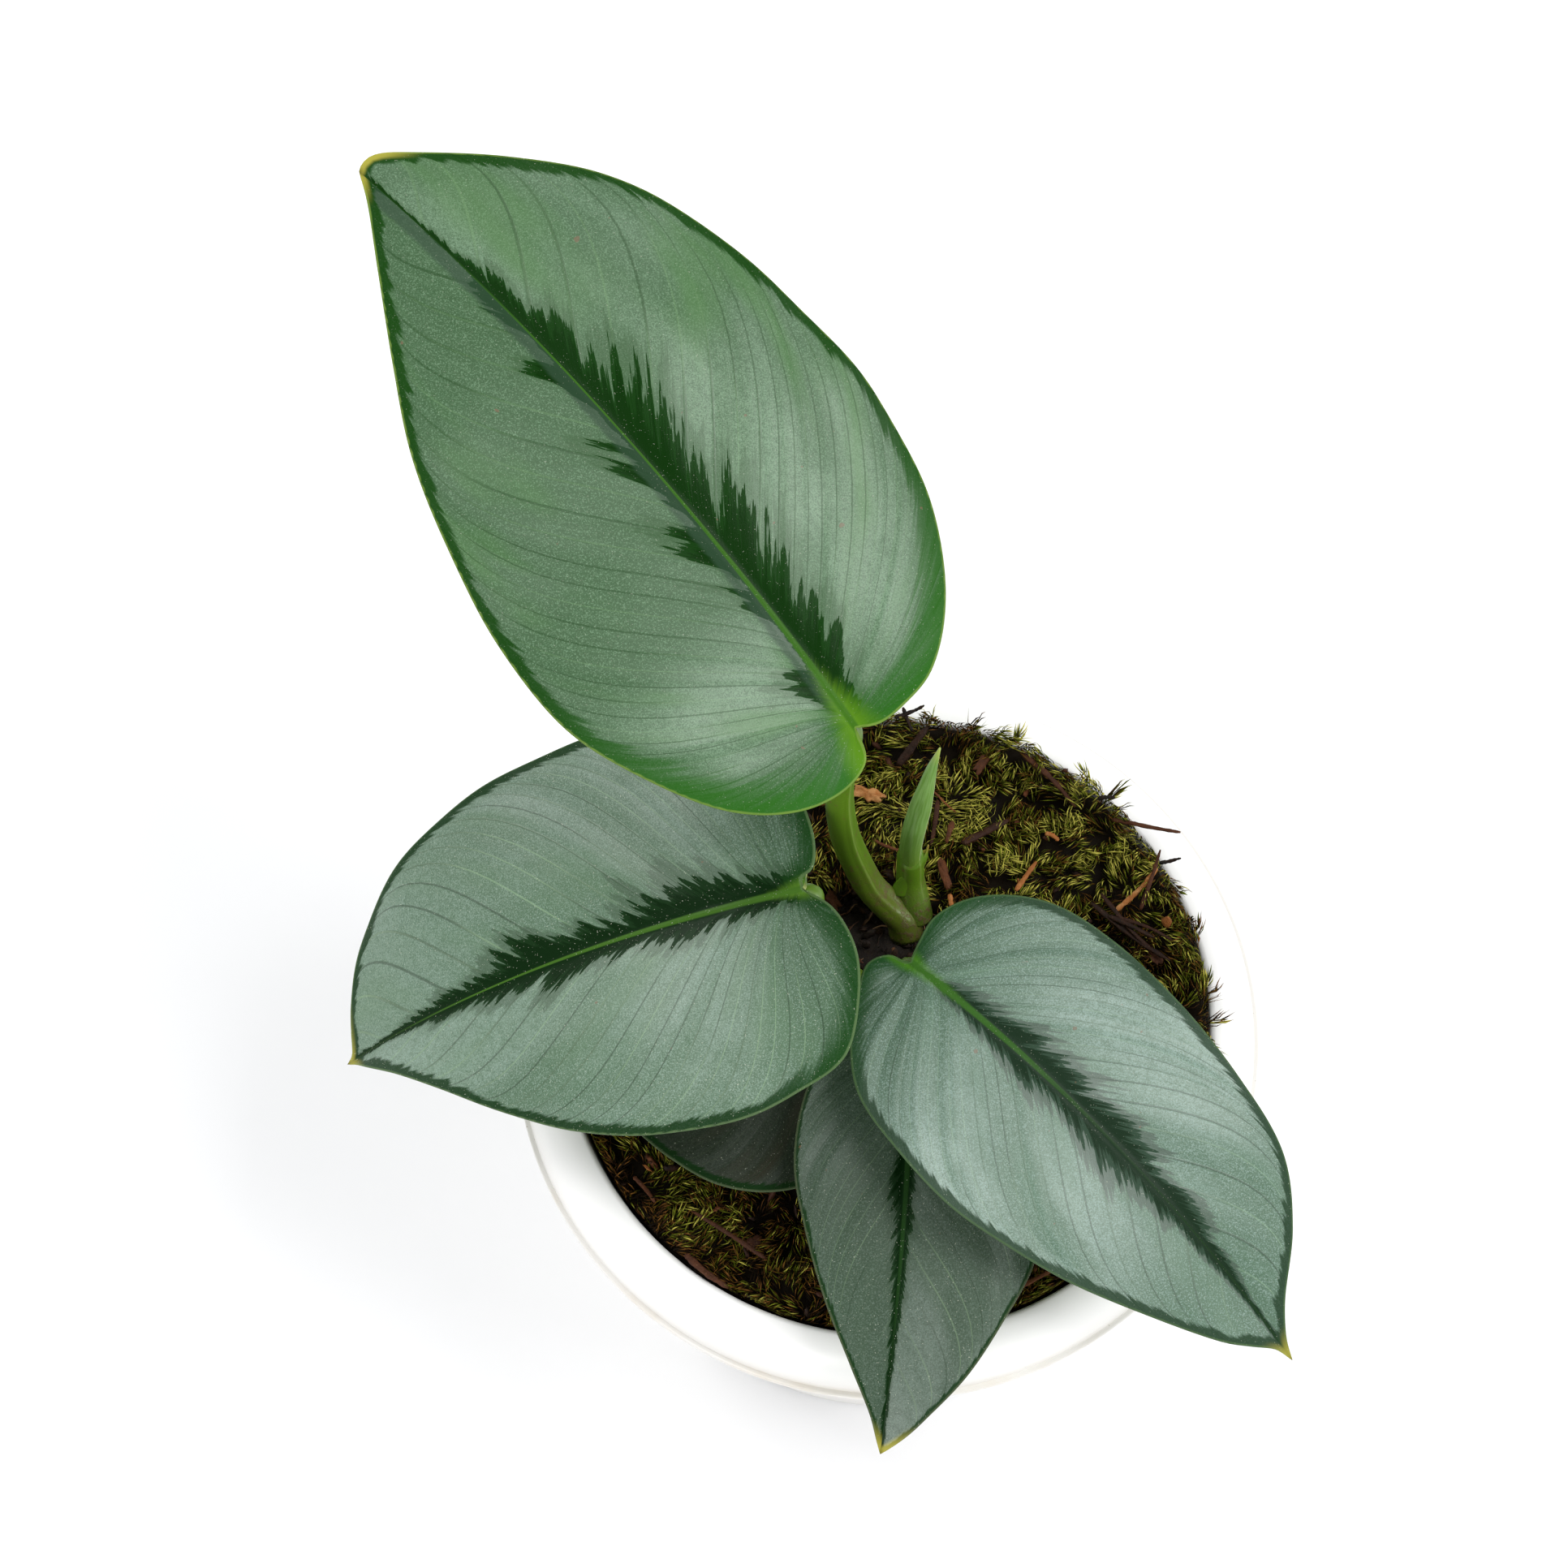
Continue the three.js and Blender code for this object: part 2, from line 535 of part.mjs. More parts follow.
const MOSS_SEAMS = [10, 68, 122, 188, 246, 308];
const HALF_SEAM = 0.6;
const MOSS_STEPS = 9;
const MOSS_RINGS = 5;
MOSS_SEAMS.forEach((seam, i) => {
  const next = MOSS_SEAMS[(i + 1) % MOSS_SEAMS.length] + (i === MOSS_SEAMS.length - 1 ? 360 : 0);
  const positions = [];
  const faces = [];
  const width = MOSS_RINGS + 1;
  const columns = MOSS_STEPS + 1;
  for (const layer of ['top', 'bottom']) {
    for (let step = 0; step < columns; step += 1) {
      const angle = degrees(THREE.MathUtils.lerp(
        seam + HALF_SEAM, next - HALF_SEAM, step / MOSS_STEPS,
      ));
      for (let ring = 0; ring < width; ring += 1) {
        const [x, y] = mossRing(angle, ring / MOSS_RINGS);
        const rounded = ring === 0 || ring === MOSS_RINGS ? MOSS_SHOULDER : 0;
        positions.push(x, y, layer === 'top' ? mossHeight(x, y) - rounded : MOSS_BOTTOM);
      }
    }
  }
  const at = (layer, step, ring) => layer * columns * width + step * width + ring;
  for (let step = 0; step < MOSS_STEPS; step += 1) {
    for (let ring = 0; ring < MOSS_RINGS; ring += 1) {
      for (const layer of [0, 1]) {
        const quad = [at(layer, step, ring), at(layer, step, ring + 1),
          at(layer, step + 1, ring + 1), at(layer, step + 1, ring)];
        if (layer === 1) quad.reverse();
        faces.push(quad[0], quad[1], quad[2], quad[0], quad[2], quad[3]);
      }
    }
    for (const ring of [0, MOSS_RINGS]) {
      const quad = [at(0, step, ring), at(0, step + 1, ring),
        at(1, step + 1, ring), at(1, step, ring)];
      if (ring === 0) quad.reverse();
      faces.push(quad[2], quad[1], quad[0], quad[3], quad[2], quad[0]);
    }
  }
  for (let ring = 0; ring < MOSS_RINGS; ring += 1) {
    for (const step of [0, MOSS_STEPS]) {
      const quad = [at(0, step, ring), at(0, step, ring + 1),
        at(1, step, ring + 1), at(1, step, ring)];
      if (step === 0) quad.reverse();
      faces.push(quad[0], quad[1], quad[2], quad[0], quad[2], quad[3]);
    }
  }
  const geometry = new THREE.BufferGeometry();
  geometry.setAttribute('position', new THREE.Float32BufferAttribute(positions, 3));
  geometry.setIndex(faces);
  let cushion = toSolid(geometry);
  for (const space of plantSpaces) cushion = cushion.subtract(space);
  addPiece(`moss_cushion_${i + 1}`, toGeometry(cushion), finishes.moss);
});

// Litter: conifer needles, twigs and bark chips that lie loose on the moss and the mix
const NEEDLE = 0.45;
const TWIG = 0.8;
const RESTING = 0.45;
const OVER_RIM = 3.4;
const LITTER = [
  ['needle_1', [22.7, 45.2], [31.5, 36], NEEDLE],
  ['needle_2', [37.5, 33.6], [48.5, 30], NEEDLE, OVER_RIM],
  ['needle_3', [37.8, 18.1], [44.7, 24.5], NEEDLE],
  ['needle_4', [8.6, 37.5], [7.4, 29.6], NEEDLE],
  ['needle_5', [-20, -41], [-32, -33], NEEDLE],
  ['twig_1', [12.5, 30], [20.5, 34.5], TWIG],
  ['twig_2', [2, 44], [7, 50], TWIG],
  ['twig_3', [-38, 26], [-30, 34], TWIG],
];
for (const [name, from, to, thickness, raisedEnd = 0] of LITTER) {
  const route = [0, 0.25, 0.5, 0.75, 1].map((share) => {
    const x = THREE.MathUtils.lerp(from[0], to[0], share);
    const y = THREE.MathUtils.lerp(from[1], to[1], share);
    return [x, y, mossHeight(x, y) + RESTING + thickness + raisedEnd * share];
  });
  const ends = [[0, 0.7 * thickness], [0.2, thickness], [1, 0.6 * thickness]];
  addPiece(name, closedBody(bentRod(route, ends, { sides: 6, steps: 5 })), finishes.litter);
}

const CHIP = { length: 6, width: 3, thickness: 1.2 };
const CHIPS = [
  ['bark_chip_1', -3, 39, -20],
  ['bark_chip_2', 9.6, 24.8, -75],
  ['bark_chip_3', 34, 8, 40],
];
for (const [name, x, y, turn] of CHIPS) {
  const chip = new THREE.BoxGeometry(CHIP.length, CHIP.width, CHIP.thickness);
  chip.rotateZ(degrees(turn));
  const reach = 0.4 * CHIP.length;
  const heights = [-reach, 0, reach].map((step) => mossHeight(
    x + step * Math.cos(degrees(turn)), y + step * Math.sin(degrees(turn)),
  ));
  chip.translate(x, y, Math.max(...heights) + RESTING + CHIP.thickness / 2);
  addPiece(name, closedBody(chip), finishes.litter);
}

export default plant;
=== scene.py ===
# A young silver-leaved Scindapsus in a white twelve-centimetre pot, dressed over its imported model.
import math
import bmesh
import bpy
import numpy as np
from mathutils.noise import noise as noise_of
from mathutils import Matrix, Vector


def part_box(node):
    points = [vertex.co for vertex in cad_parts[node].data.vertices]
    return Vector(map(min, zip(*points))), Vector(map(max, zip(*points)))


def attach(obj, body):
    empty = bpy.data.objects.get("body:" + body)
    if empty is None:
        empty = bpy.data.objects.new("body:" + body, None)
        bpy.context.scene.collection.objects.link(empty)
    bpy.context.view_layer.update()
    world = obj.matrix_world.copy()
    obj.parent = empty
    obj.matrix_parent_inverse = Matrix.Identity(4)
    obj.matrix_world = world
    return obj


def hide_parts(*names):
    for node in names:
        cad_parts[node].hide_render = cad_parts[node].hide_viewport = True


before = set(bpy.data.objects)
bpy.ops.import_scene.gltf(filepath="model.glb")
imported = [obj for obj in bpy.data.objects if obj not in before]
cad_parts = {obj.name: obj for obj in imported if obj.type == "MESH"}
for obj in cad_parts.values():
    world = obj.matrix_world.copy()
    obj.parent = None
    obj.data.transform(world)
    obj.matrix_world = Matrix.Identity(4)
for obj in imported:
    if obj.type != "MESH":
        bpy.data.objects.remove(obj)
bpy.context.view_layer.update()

# Camera and table: the plant is seen from the front and steeply from above, through a long
# lens, standing on a plain white table under broad soft studio light from the back left.
MM = 0.001
_, pot_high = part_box("pot")
CAMERA_ELEVATION = math.radians(69)
CAMERA_DISTANCE = 731.7 * MM
AIM = np.array([-17.1 * MM, 41.4 * MM, pot_high[2]])
LENS = 100
SENSOR = 36

camera_data = bpy.data.cameras.new("camera")
camera_data.lens = LENS
camera_data.sensor_width = SENSOR
camera_data.clip_start = 0.05
camera_data.clip_end = 20
camera = bpy.data.objects.new("camera", camera_data)
bpy.context.scene.collection.objects.link(camera)
backward = np.array([0, -math.cos(CAMERA_ELEVATION), math.sin(CAMERA_ELEVATION)])
camera.location = AIM + CAMERA_DISTANCE * backward
camera.rotation_euler = (math.pi / 2 - CAMERA_ELEVATION, 0, 0)
bpy.context.scene.camera = camera
bpy.context.scene.view_settings.view_transform = "Standard"


def link_mesh(name, points, faces, smooth=True):
    mesh = bpy.data.meshes.new(name)
    mesh.from_pydata([tuple(p) for p in np.asarray(points, float)], [], faces)
    mesh.validate()
    mesh.polygons.foreach_set("use_smooth", [smooth] * len(mesh.polygons))
    piece = bpy.data.objects.new(name, mesh)
    bpy.context.scene.collection.objects.link(piece)
    return piece


def start_finish(name, color, roughness, specular=0.5):
    finish = bpy.data.materials.new(name)
    finish.use_nodes = True
    shader = finish.node_tree.nodes["Principled BSDF"]
    shader.inputs["Base Color"].default_value = (*color, 1)
    shader.inputs["Roughness"].default_value = roughness
    shader.inputs["Specular IOR Level"].default_value = specular
    return finish, finish.node_tree, shader


TABLE_REACH = 4
TABLE_WHITE = (0.86, 0.865, 0.88)
table_corners = TABLE_REACH * np.array([(-1, -1, 0), (1, -1, 0), (1, 1, 0), (-1, 1, 0)])
table = link_mesh("table", table_corners, [(0, 1, 2, 3)], smooth=False)
table_finish, _, _ = start_finish("white_table", TABLE_WHITE, 0.8, 0.2)
table.data.materials.append(table_finish)

ROOM_LIGHT = 0.45
room = bpy.data.worlds.new("studio")
room.use_nodes = True
room.node_tree.nodes["Background"].inputs["Color"].default_value = (1, 1, 1, 1)
room.node_tree.nodes["Background"].inputs["Strength"].default_value = ROOM_LIGHT
bpy.context.scene.world = room


def softbox(name, place, aim, size, power):
    lamp_data = bpy.data.lights.new(name, "AREA")
    lamp_data.shape = "RECTANGLE"
    lamp_data.size = size[0]
    lamp_data.size_y = size[1]
    lamp_data.energy = power
    lamp = bpy.data.objects.new(name, lamp_data)
    bpy.context.scene.collection.objects.link(lamp)
    lamp.location = place
    sight = np.array(aim, float) - np.array(place, float)
    flat = math.hypot(sight[0], sight[1])
    lamp.rotation_euler = (math.atan2(flat, -sight[2]), 0, math.atan2(-sight[0], sight[1]))


softbox("key_softbox", (-0.75, 0.7, 0.85), (0, 0, 0.1), (0.7, 0.7), 8.5)
softbox("overhead_softbox", (0.45, 0.02, 1.0), (0, 0, 0.1), (0.42, 0.5), 5)
softbox("front_softbox", (-0.5, -0.85, 0.7), (0, 0, 0.08), (0.7, 0.5), 7)
softbox("side_softbox", (1.1, -0.15, 0.35), (0.05, 0, 0.09), (0.6, 0.4), 6)

# Pot: one injection-moulded white plastic cup with a collar rolled over its mouth, a thin lip
# under the collar, a foot ring, and six drain holes. It carries everything else.
POT_HEIGHT = pot_high[2]
LIP_RADIUS = pot_high[0]
COLLAR_RADIUS = LIP_RADIUS - 0.8 * MM
MOUTH_RADIUS = 53 * MM
COLLAR_DROP = 7.7 * MM
LIP_HEIGHT = 1.6 * MM
WALL = 2 * MM
EDGE = 1 * MM
FOOT_RADIUS = 43 * MM
FOOT_RING = 3 * MM
FOOT_PAD_RADIUS = 11 * MM
FLOOR_TOP = 5 * MM
FLOOR_UNDERSIDE = 2.5 * MM
FLOOR_CORNER = 3 * MM
DRAIN_HOLES = 6
DRAIN_RADIUS = 3.5 * MM
DRAIN_CIRCLE = 25 * MM
TURNING_STEPS = 240


# Finishes are strung together from a few kinds of node: each of these adds one and gives back
# what comes out of it. A coat puts the colour and the fine relief on the finish.
def feed(part, socket):
    if isinstance(part, bpy.types.NodeSocket):
        socket.id_data.links.new(part, socket)
    elif isinstance(part, tuple):
        socket.default_value = (*part, 1)
    else:
        socket.default_value = part


def value(operation, *parts):
    tree = next(part.id_data for part in parts if isinstance(part, bpy.types.NodeSocket))
    node = tree.nodes.new("ShaderNodeMath")
    node.operation = operation
    for socket, part in zip(node.inputs, parts):
        feed(part, socket)
    return node.outputs[0]


def times(first, second):
    return value("MULTIPLY", first, second)


def plus(first, second):
    return value("ADD", first, second)


def scaled(source, factor, added):
    return value("MULTIPLY_ADD", source, factor, added)


def smooth_step(source, low, high):
    node = source.id_data.nodes.new("ShaderNodeMapRange")
    node.interpolation_type = "SMOOTHSTEP"
    feed(source, node.inputs["Value"])
    feed(low, node.inputs["From Min"])
    feed(high, node.inputs["From Max"])
    return node.outputs["Result"]


def mixed(share, under, over, strength=1):
    node = share.id_data.nodes.new("ShaderNodeMix")
    node.data_type = "RGBA"
    feed(share if strength == 1 else times(share, strength), node.inputs[0])
    feed(under, node.inputs[6])
    feed(over, node.inputs[7])
    return node.outputs[2]


def noise(place, scale, detail, roughness=0.5):
    node = place.id_data.nodes.new("ShaderNodeTexNoise")
    feed(place, node.inputs["Vector"])
    feed(scale, node.inputs["Scale"])
    feed(detail, node.inputs["Detail"])
    feed(roughness, node.inputs["Roughness"])
    return node.outputs["Fac"]


def spots(place, scale, low, high, detail=1, roughness=0.5):
    return smooth_step(noise(place, scale, detail, roughness), low, high)


def stretched(place, scale, shift=(0, 0, 0)):
    node = place.id_data.nodes.new("ShaderNodeMapping")
    feed(place, node.inputs["Vector"])
    node.inputs["Scale"].default_value = scale
    node.inputs["Location"].default_value = shift
    return node.outputs["Vector"]


def solid_place(tree):
    return tree.nodes.new("ShaderNodeTexCoord").outputs["Object"]


def attribute(tree, name):
    node = tree.nodes.new("ShaderNodeAttribute")
    node.attribute_name = name
    return node.outputs["Fac"]


def coat(shader, colour, height, depth, strength):
    feed(colour, shader.inputs["Base Color"])
    node = shader.id_data.nodes.new("ShaderNodeBump")
    feed(strength, node.inputs["Strength"])
    feed(depth, node.inputs["Distance"])
    feed(height, node.inputs["Height"])
    feed(node.outputs["Normal"], shader.inputs["Normal"])


def arc(centre, radii, start, end, steps):
    turns = np.radians(np.linspace(start, end, steps + 1))
    return [(centre[0] + radii[0] * math.cos(a), centre[1] + radii[1] * math.sin(a)) for a in turns]


def ring_faces(rings, sides, first=0):
    faces = []
    for low in range(first, first + (rings - 1) * sides, sides):
        for k in range(sides):
            after = (k + 1) % sides
            faces.append((low + k, low + after, low + sides + after, low + sides + k))
    return faces


def tube_faces(rings, sides):
    last = 1 + (rings - 1) * sides
    faces = ring_faces(rings, sides, 1)
    for k in range(sides):
        after = (k + 1) % sides
        faces.append((0, 1 + after, 1 + k))
        faces.append((last + sides, last + k, last + after))
    return faces


def turned_mesh(profile, steps):
    turns = np.arange(steps) * 2 * np.pi / steps
    points = [(0, 0, profile[0][1])]
    for radius, height in profile[1:-1]:
        points += [(radius * math.cos(a), radius * math.sin(a), height) for a in turns]
    points.append((0, 0, profile[-1][1]))
    return points, tube_faces(len(profile) - 2, steps)


lip_bottom = POT_HEIGHT - COLLAR_DROP - LIP_HEIGHT
collar_bottom = POT_HEIGHT - COLLAR_DROP
wall_top = MOUTH_RADIUS + WALL
ring_inside = FOOT_RADIUS - EDGE - FOOT_RING
skirt_inside = COLLAR_RADIUS - WALL
pot_profile = [(0, 0), (FOOT_PAD_RADIUS - EDGE, 0)]
pot_profile += arc((FOOT_PAD_RADIUS, EDGE), (EDGE, EDGE), -90, 0, 4)
pot_profile += [
    (FOOT_PAD_RADIUS + EDGE, FLOOR_UNDERSIDE),
    (ring_inside - EDGE, FLOOR_UNDERSIDE),
    (ring_inside - 0.3 * EDGE, 0.3 * EDGE),
    (ring_inside, 0),
]
pot_profile += arc((FOOT_RADIUS - EDGE, EDGE), (EDGE, EDGE), -90, 0, 6)
pot_profile += [(wall_top - 0.1 * EDGE, lip_bottom), (wall_top, lip_bottom + WALL)]
pot_profile += arc((wall_top + 2 * EDGE, POT_HEIGHT - WALL - 2 * EDGE), (2 * EDGE, EDGE),
                   180, 90, 4)
pot_profile += [(skirt_inside - EDGE, collar_bottom + WALL),
                (skirt_inside, lip_bottom + 0.2 * EDGE)]
pot_profile += arc((LIP_RADIUS - 0.5 * EDGE, lip_bottom + 0.5 * EDGE), (0.5 * EDGE, 0.5 * EDGE),
                   -90, 0, 5)
pot_profile += arc((LIP_RADIUS - 0.5 * EDGE, collar_bottom - 0.4 * EDGE), (0.5 * EDGE, 0.4 * EDGE),
                   0, 80, 5)
collar_width = COLLAR_RADIUS - MOUTH_RADIUS - EDGE
pot_profile += arc((MOUTH_RADIUS + EDGE, collar_bottom), (collar_width, COLLAR_DROP), 1, 90, 28)
pot_profile += arc((MOUTH_RADIUS + EDGE, POT_HEIGHT - EDGE), (EDGE, EDGE), 100, 180, 5)
pot_profile.append((FOOT_RADIUS - WALL + 0.2 * EDGE, FLOOR_TOP + 2 * FLOOR_CORNER))
pot_profile += arc((FOOT_RADIUS - WALL - FLOOR_CORNER, FLOOR_TOP + FLOOR_CORNER),
                   (FLOOR_CORNER, FLOOR_CORNER), 0, -90, 6)
pot_profile.append((0, FLOOR_TOP))
pot_points, pot_faces = turned_mesh(pot_profile, TURNING_STEPS)
pot = link_mesh("pot_moulding", pot_points, pot_faces)

DRILL_SIDES = 24
DRILL_ENDS = (-5 * MM, 15 * MM)
drill_turns = 2 * np.pi * np.arange(DRILL_SIDES) / DRILL_SIDES
drill_points = []
drill_faces = []
for hole in range(DRAIN_HOLES):
    middle = 2 * math.pi * hole / DRAIN_HOLES
    first = len(drill_points)
    for height in DRILL_ENDS:
        drill_points += [(
            DRAIN_CIRCLE * math.cos(middle) + DRAIN_RADIUS * math.cos(turn),
            DRAIN_CIRCLE * math.sin(middle) + DRAIN_RADIUS * math.sin(turn),
            height,
        ) for turn in drill_turns]
    low_end = tuple(range(first, first + DRILL_SIDES))
    drill_faces.append(low_end[::-1])
    drill_faces.append(tuple(corner + DRILL_SIDES for corner in low_end))
    drill_faces += ring_faces(2, DRILL_SIDES, first)
drill = link_mesh("drill", drill_points, drill_faces)


def apply_modifiers(piece):
    shape = piece.evaluated_get(bpy.context.evaluated_depsgraph_get())
    finished = bpy.data.meshes.new_from_object(shape)
    piece.modifiers.clear()
    piece.data = finished


bore = pot.modifiers.new("drain_holes", "BOOLEAN")
bore.object = drill
bore.operation = "DIFFERENCE"
bore.solver = "EXACT"
apply_modifiers(pot)
bpy.data.objects.remove(drill)
pot.data.set_sharp_from_angle(angle=math.radians(35))

PLASTIC_WHITE = (0.92, 0.92, 0.91)
PAINTED_SHADE_WHITE = (0.74, 0.725, 0.69)
STAIN_BUFF = (0.6, 0.5, 0.36)
DIRT_BROWN = (0.25, 0.2, 0.15)
pot_finish, tree, shader = start_finish("white_plastic", PLASTIC_WHITE, 0.32)
place = solid_place(tree)
apart = tree.nodes.new("ShaderNodeSeparateXYZ")
feed(place, apart.inputs[0])
height = apart.outputs["Z"]
fine = noise(place, 900, 3, 0.6)
broad = noise(place, 45, 4, 0.6)
low_roll = smooth_step(height, POT_HEIGHT - 5 * MM, lip_bottom)
stain = times(smooth_step(broad, 0.52, 0.72), low_roll)
specks = spots(place, 1400, 0.76, 0.8)
dirt = times(specks, low_roll)
# painted shade: the outer roll of the collar and the whole body below it take a greyer white,
# standing in for the shade on the faces that turn away from the lamps
painted_shade = smooth_step(height, POT_HEIGHT - 1.5 * MM, collar_bottom)
colour = mixed(painted_shade, PLASTIC_WHITE, PAINTED_SHADE_WHITE)
colour = mixed(stain, colour, STAIN_BUFF, 0.5)
colour = mixed(dirt, colour, DIRT_BROWN, 0.8)
feed(scaled(fine, 0.1, 0.26), shader.inputs["Roughness"])
coat(shader, colour, broad, 0.08 * MM, 0.35)
pot.data.materials.clear()
pot.data.materials.append(pot_finish)
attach(pot, "root")
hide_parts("pot")

# Potting mix: damp bark, peat and fibre, dark and crumbly, filling the pot to five millimetres
# under its mouth and heaped a little against the stem. It grips the pale roots.
SOIL_TOP = 90
FIBRE_SIDES = 5
SOIL_RADIUS = 52.1
SOIL_SIDES = [(0, 5.3), (37.7, 5.3), (40.7, 8.3)]
SOIL_RINGS = 56
SOIL_STEPS = 150
HOLLOW = (-1, 4)
HOLLOW_RADII = (15, 21)
CRUMBS = 520
CRUMB_TONES = [0.05, 0.2, 0.35, 0.55, 0.8]
TONE_SHARES = [0.35, 0.32, 0.19, 0.1, 0.04]
FIBRES = 130
rng = np.random.default_rng(7)


def lumpy(places, size, seed=0.0):
    return np.array([noise_of((x / size, y / size, z / size + seed)) for x, y, z in places])


def unit(vectors):
    return vectors / np.maximum(np.linalg.norm(vectors, axis=-1, keepdims=True), 1e-9)


def note(piece, name, numbers):
    field = piece.data.attributes.new(name, "FLOAT", "POINT")
    field.data.foreach_set("value", np.asarray(numbers, np.float32))


def together(parts):
    points = []
    faces = []
    first = 0
    for part_points, part_faces in parts:
        points.append(part_points)
        faces += [tuple(corner + first for corner in face) for face in part_faces]
        first += len(part_points)
    return np.vstack(points), faces


def heap(x, y):
    beside = 3.2 * np.exp(-((x - 4) ** 2 / 60 + (y - 10) ** 2 / 45))
    return SOIL_TOP + beside + 0.9 * np.exp(-((x + 8) ** 2 + (y - 16) ** 2) / 60)


def soil_mesh():
    profile = [(SOIL_RADIUS * k / SOIL_RINGS, SOIL_TOP) for k in range(SOIL_RINGS, -1, -1)]
    points, faces = turned_mesh(SOIL_SIDES + profile, SOIL_STEPS)
    points = np.array(points)
    on_top = points[:, 2] > SOIL_TOP - 1
    top = points[on_top]
    rough = 0.9 * lumpy(top, 2.6) + 0.5 * lumpy(top, 1.1, 5.0)
    points[on_top, 2] = heap(top[:, 0], top[:, 1]) + rough
    return points, faces


def crumb_shape():
    ball = bmesh.new()
    bmesh.ops.create_icosphere(ball, subdivisions=2, radius=1)
    points = np.array([tuple(vertex.co) for vertex in ball.verts])
    faces = [tuple(vertex.index for vertex in face.verts) for face in ball.faces]
    ball.free()
    return points, faces


def any_turn(rng):
    spun, _ = np.linalg.qr(rng.normal(size=(3, 3)))
    return spun * np.sign(np.linalg.det(spun))


def rings_around(path, across, over, reach):
    turns = 2 * np.pi * np.arange(reach.shape[1]) / reach.shape[1]
    ringed = path[:, None] + reach[..., None] * (
        across[:, None] * np.cos(turns)[None, :, None] + over[:, None] * np.sin(turns)[None, :, None]
    )
    points = np.vstack([path[:1], ringed.reshape(-1, 3), path[-1:]])
    return points, tube_faces(*reach.shape)


def fibre_mesh(path, radius):
    along = unit(np.gradient(path, axis=0))
    across = unit(np.cross(along, (0.3, 0.2, 0.9)))
    taper = radius * np.sqrt(np.sin(np.linspace(0.25, np.pi - 0.15, len(path))))
    reach = np.tile(taper[:, None], FIBRE_SIDES)
    return rings_around(path, across, np.cross(along, across), reach)


def spot_in_hollow(reach):
    angle = rng.uniform(0, 2 * np.pi)
    reach *= np.sqrt(rng.uniform(0, 1))
    x = HOLLOW[0] + HOLLOW_RADII[0] * reach * math.cos(angle)
    y = HOLLOW[1] + HOLLOW_RADII[1] * reach * math.sin(angle)
    return x, y


def broken_crumb(rng, size, roughness):
    rough = 1 + roughness * rng.standard_normal((len(ball_points), 1))
    return (ball_points * rough * size) @ any_turn(rng).T


soil_parts = [soil_mesh()]
soil_tones = [np.full(len(soil_parts[0][0]), 0.12)]
ball_points, ball_faces = crumb_shape()
for _ in range(CRUMBS):
    x, y = spot_in_hollow(1.25)
    size = rng.uniform(0.35, 1.0) ** 1.6
    shape = size * np.array([rng.uniform(0.8, 1.8), rng.uniform(0.5, 1), rng.uniform(0.25, 0.8)])
    crumb = broken_crumb(rng, shape, 0.24)
    height = float(heap(x, y)) + rng.uniform(0, 1.3)
    soil_parts.append((crumb + (x, y, height), ball_faces))
    soil_tones.append(np.full(len(crumb), rng.choice(CRUMB_TONES, p=TONE_SHARES)))
for _ in range(FIBRES):
    x, y = spot_in_hollow(1.2)
    heading = rng.uniform(0, 2 * np.pi) + np.cumsum(rng.normal(0, 0.28, 9))
    length = rng.uniform(2.5, 9)
    run = np.cumsum(np.stack([np.cos(heading), np.sin(heading)], 1), 0) * length / 9
    rise = np.cumsum(rng.normal(0.03, 0.12, 9)) + rng.uniform(0.6, 2)
    path = np.column_stack([x + run[:, 0], y + run[:, 1], heap(x, y) + rise])
    soil_parts.append(fibre_mesh(path, rng.uniform(0.07, 0.2)))
    soil_tones.append(np.full(len(soil_parts[-1][0]), rng.uniform(0.35, 0.95)))

points, faces = together(soil_parts)
soil = link_mesh("potting_mix_crumbs", points * MM, faces)
note(soil, "tone", np.concatenate(soil_tones))


def ramp(source, stops):
    node = source.id_data.nodes.new("ShaderNodeValToRGB")
    feed(source, node.inputs["Fac"])
    while len(node.color_ramp.elements) < len(stops):
        node.color_ramp.elements.new(0.5)
    for element, (place, color) in zip(node.color_ramp.elements, stops):
        element.position = place
        element.color = (*color, 1)
    return node.outputs["Color"]


soil_finish, tree, shader = start_finish("damp_potting_mix", (0.03, 0.018, 0.01), 0.75, 0.3)
place = solid_place(tree)
coarse = noise(place, 500, 4, 0.7)
fine = noise(place, 2600, 3, 0.7)
tone = plus(attribute(tree, "tone"), scaled(coarse, 0.5, -0.25))
colour = ramp(tone, [
    (0.0, (0.006, 0.004, 0.003)), (0.25, (0.02, 0.011, 0.006)), (0.5, (0.06, 0.027, 0.012)),
    (0.75, (0.14, 0.062, 0.025)), (1.0, (0.28, 0.17, 0.085)),
])
colour = mixed(smooth_step(fine, 0.55, 0.75), colour, (0.11, 0.075, 0.045), 0.35)
feed(scaled(fine, 0.4, 0.5), shader.inputs["Roughness"])
coat(shader, colour, plus(coarse, fine), 0.3 * MM, 0.8)
soil.data.materials.append(soil_finish)
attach(soil, "root")
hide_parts("potting_mix")

ROOT_PALE = (0.52, 0.4, 0.24)
ROOT_BROWN = (0.27, 0.17, 0.09)
ROOTS = 6
root_finish, tree, shader = start_finish("root_skin", (0.5, 0.38, 0.22), 0.7, 0.3)
place = solid_place(tree)
skin = noise(stretched(place, (1, 1, 0.3)), 900, 4, 0.6)
colour = mixed(smooth_step(skin, 0.35, 0.65), ROOT_PALE, ROOT_BROWN)
coat(shader, colour, skin, 0.1 * MM, 0.6)
for number in range(1, ROOTS + 1):
    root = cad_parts["root_%d" % number]
    root.data.materials.clear()
    root.data.materials.append(root_finish)

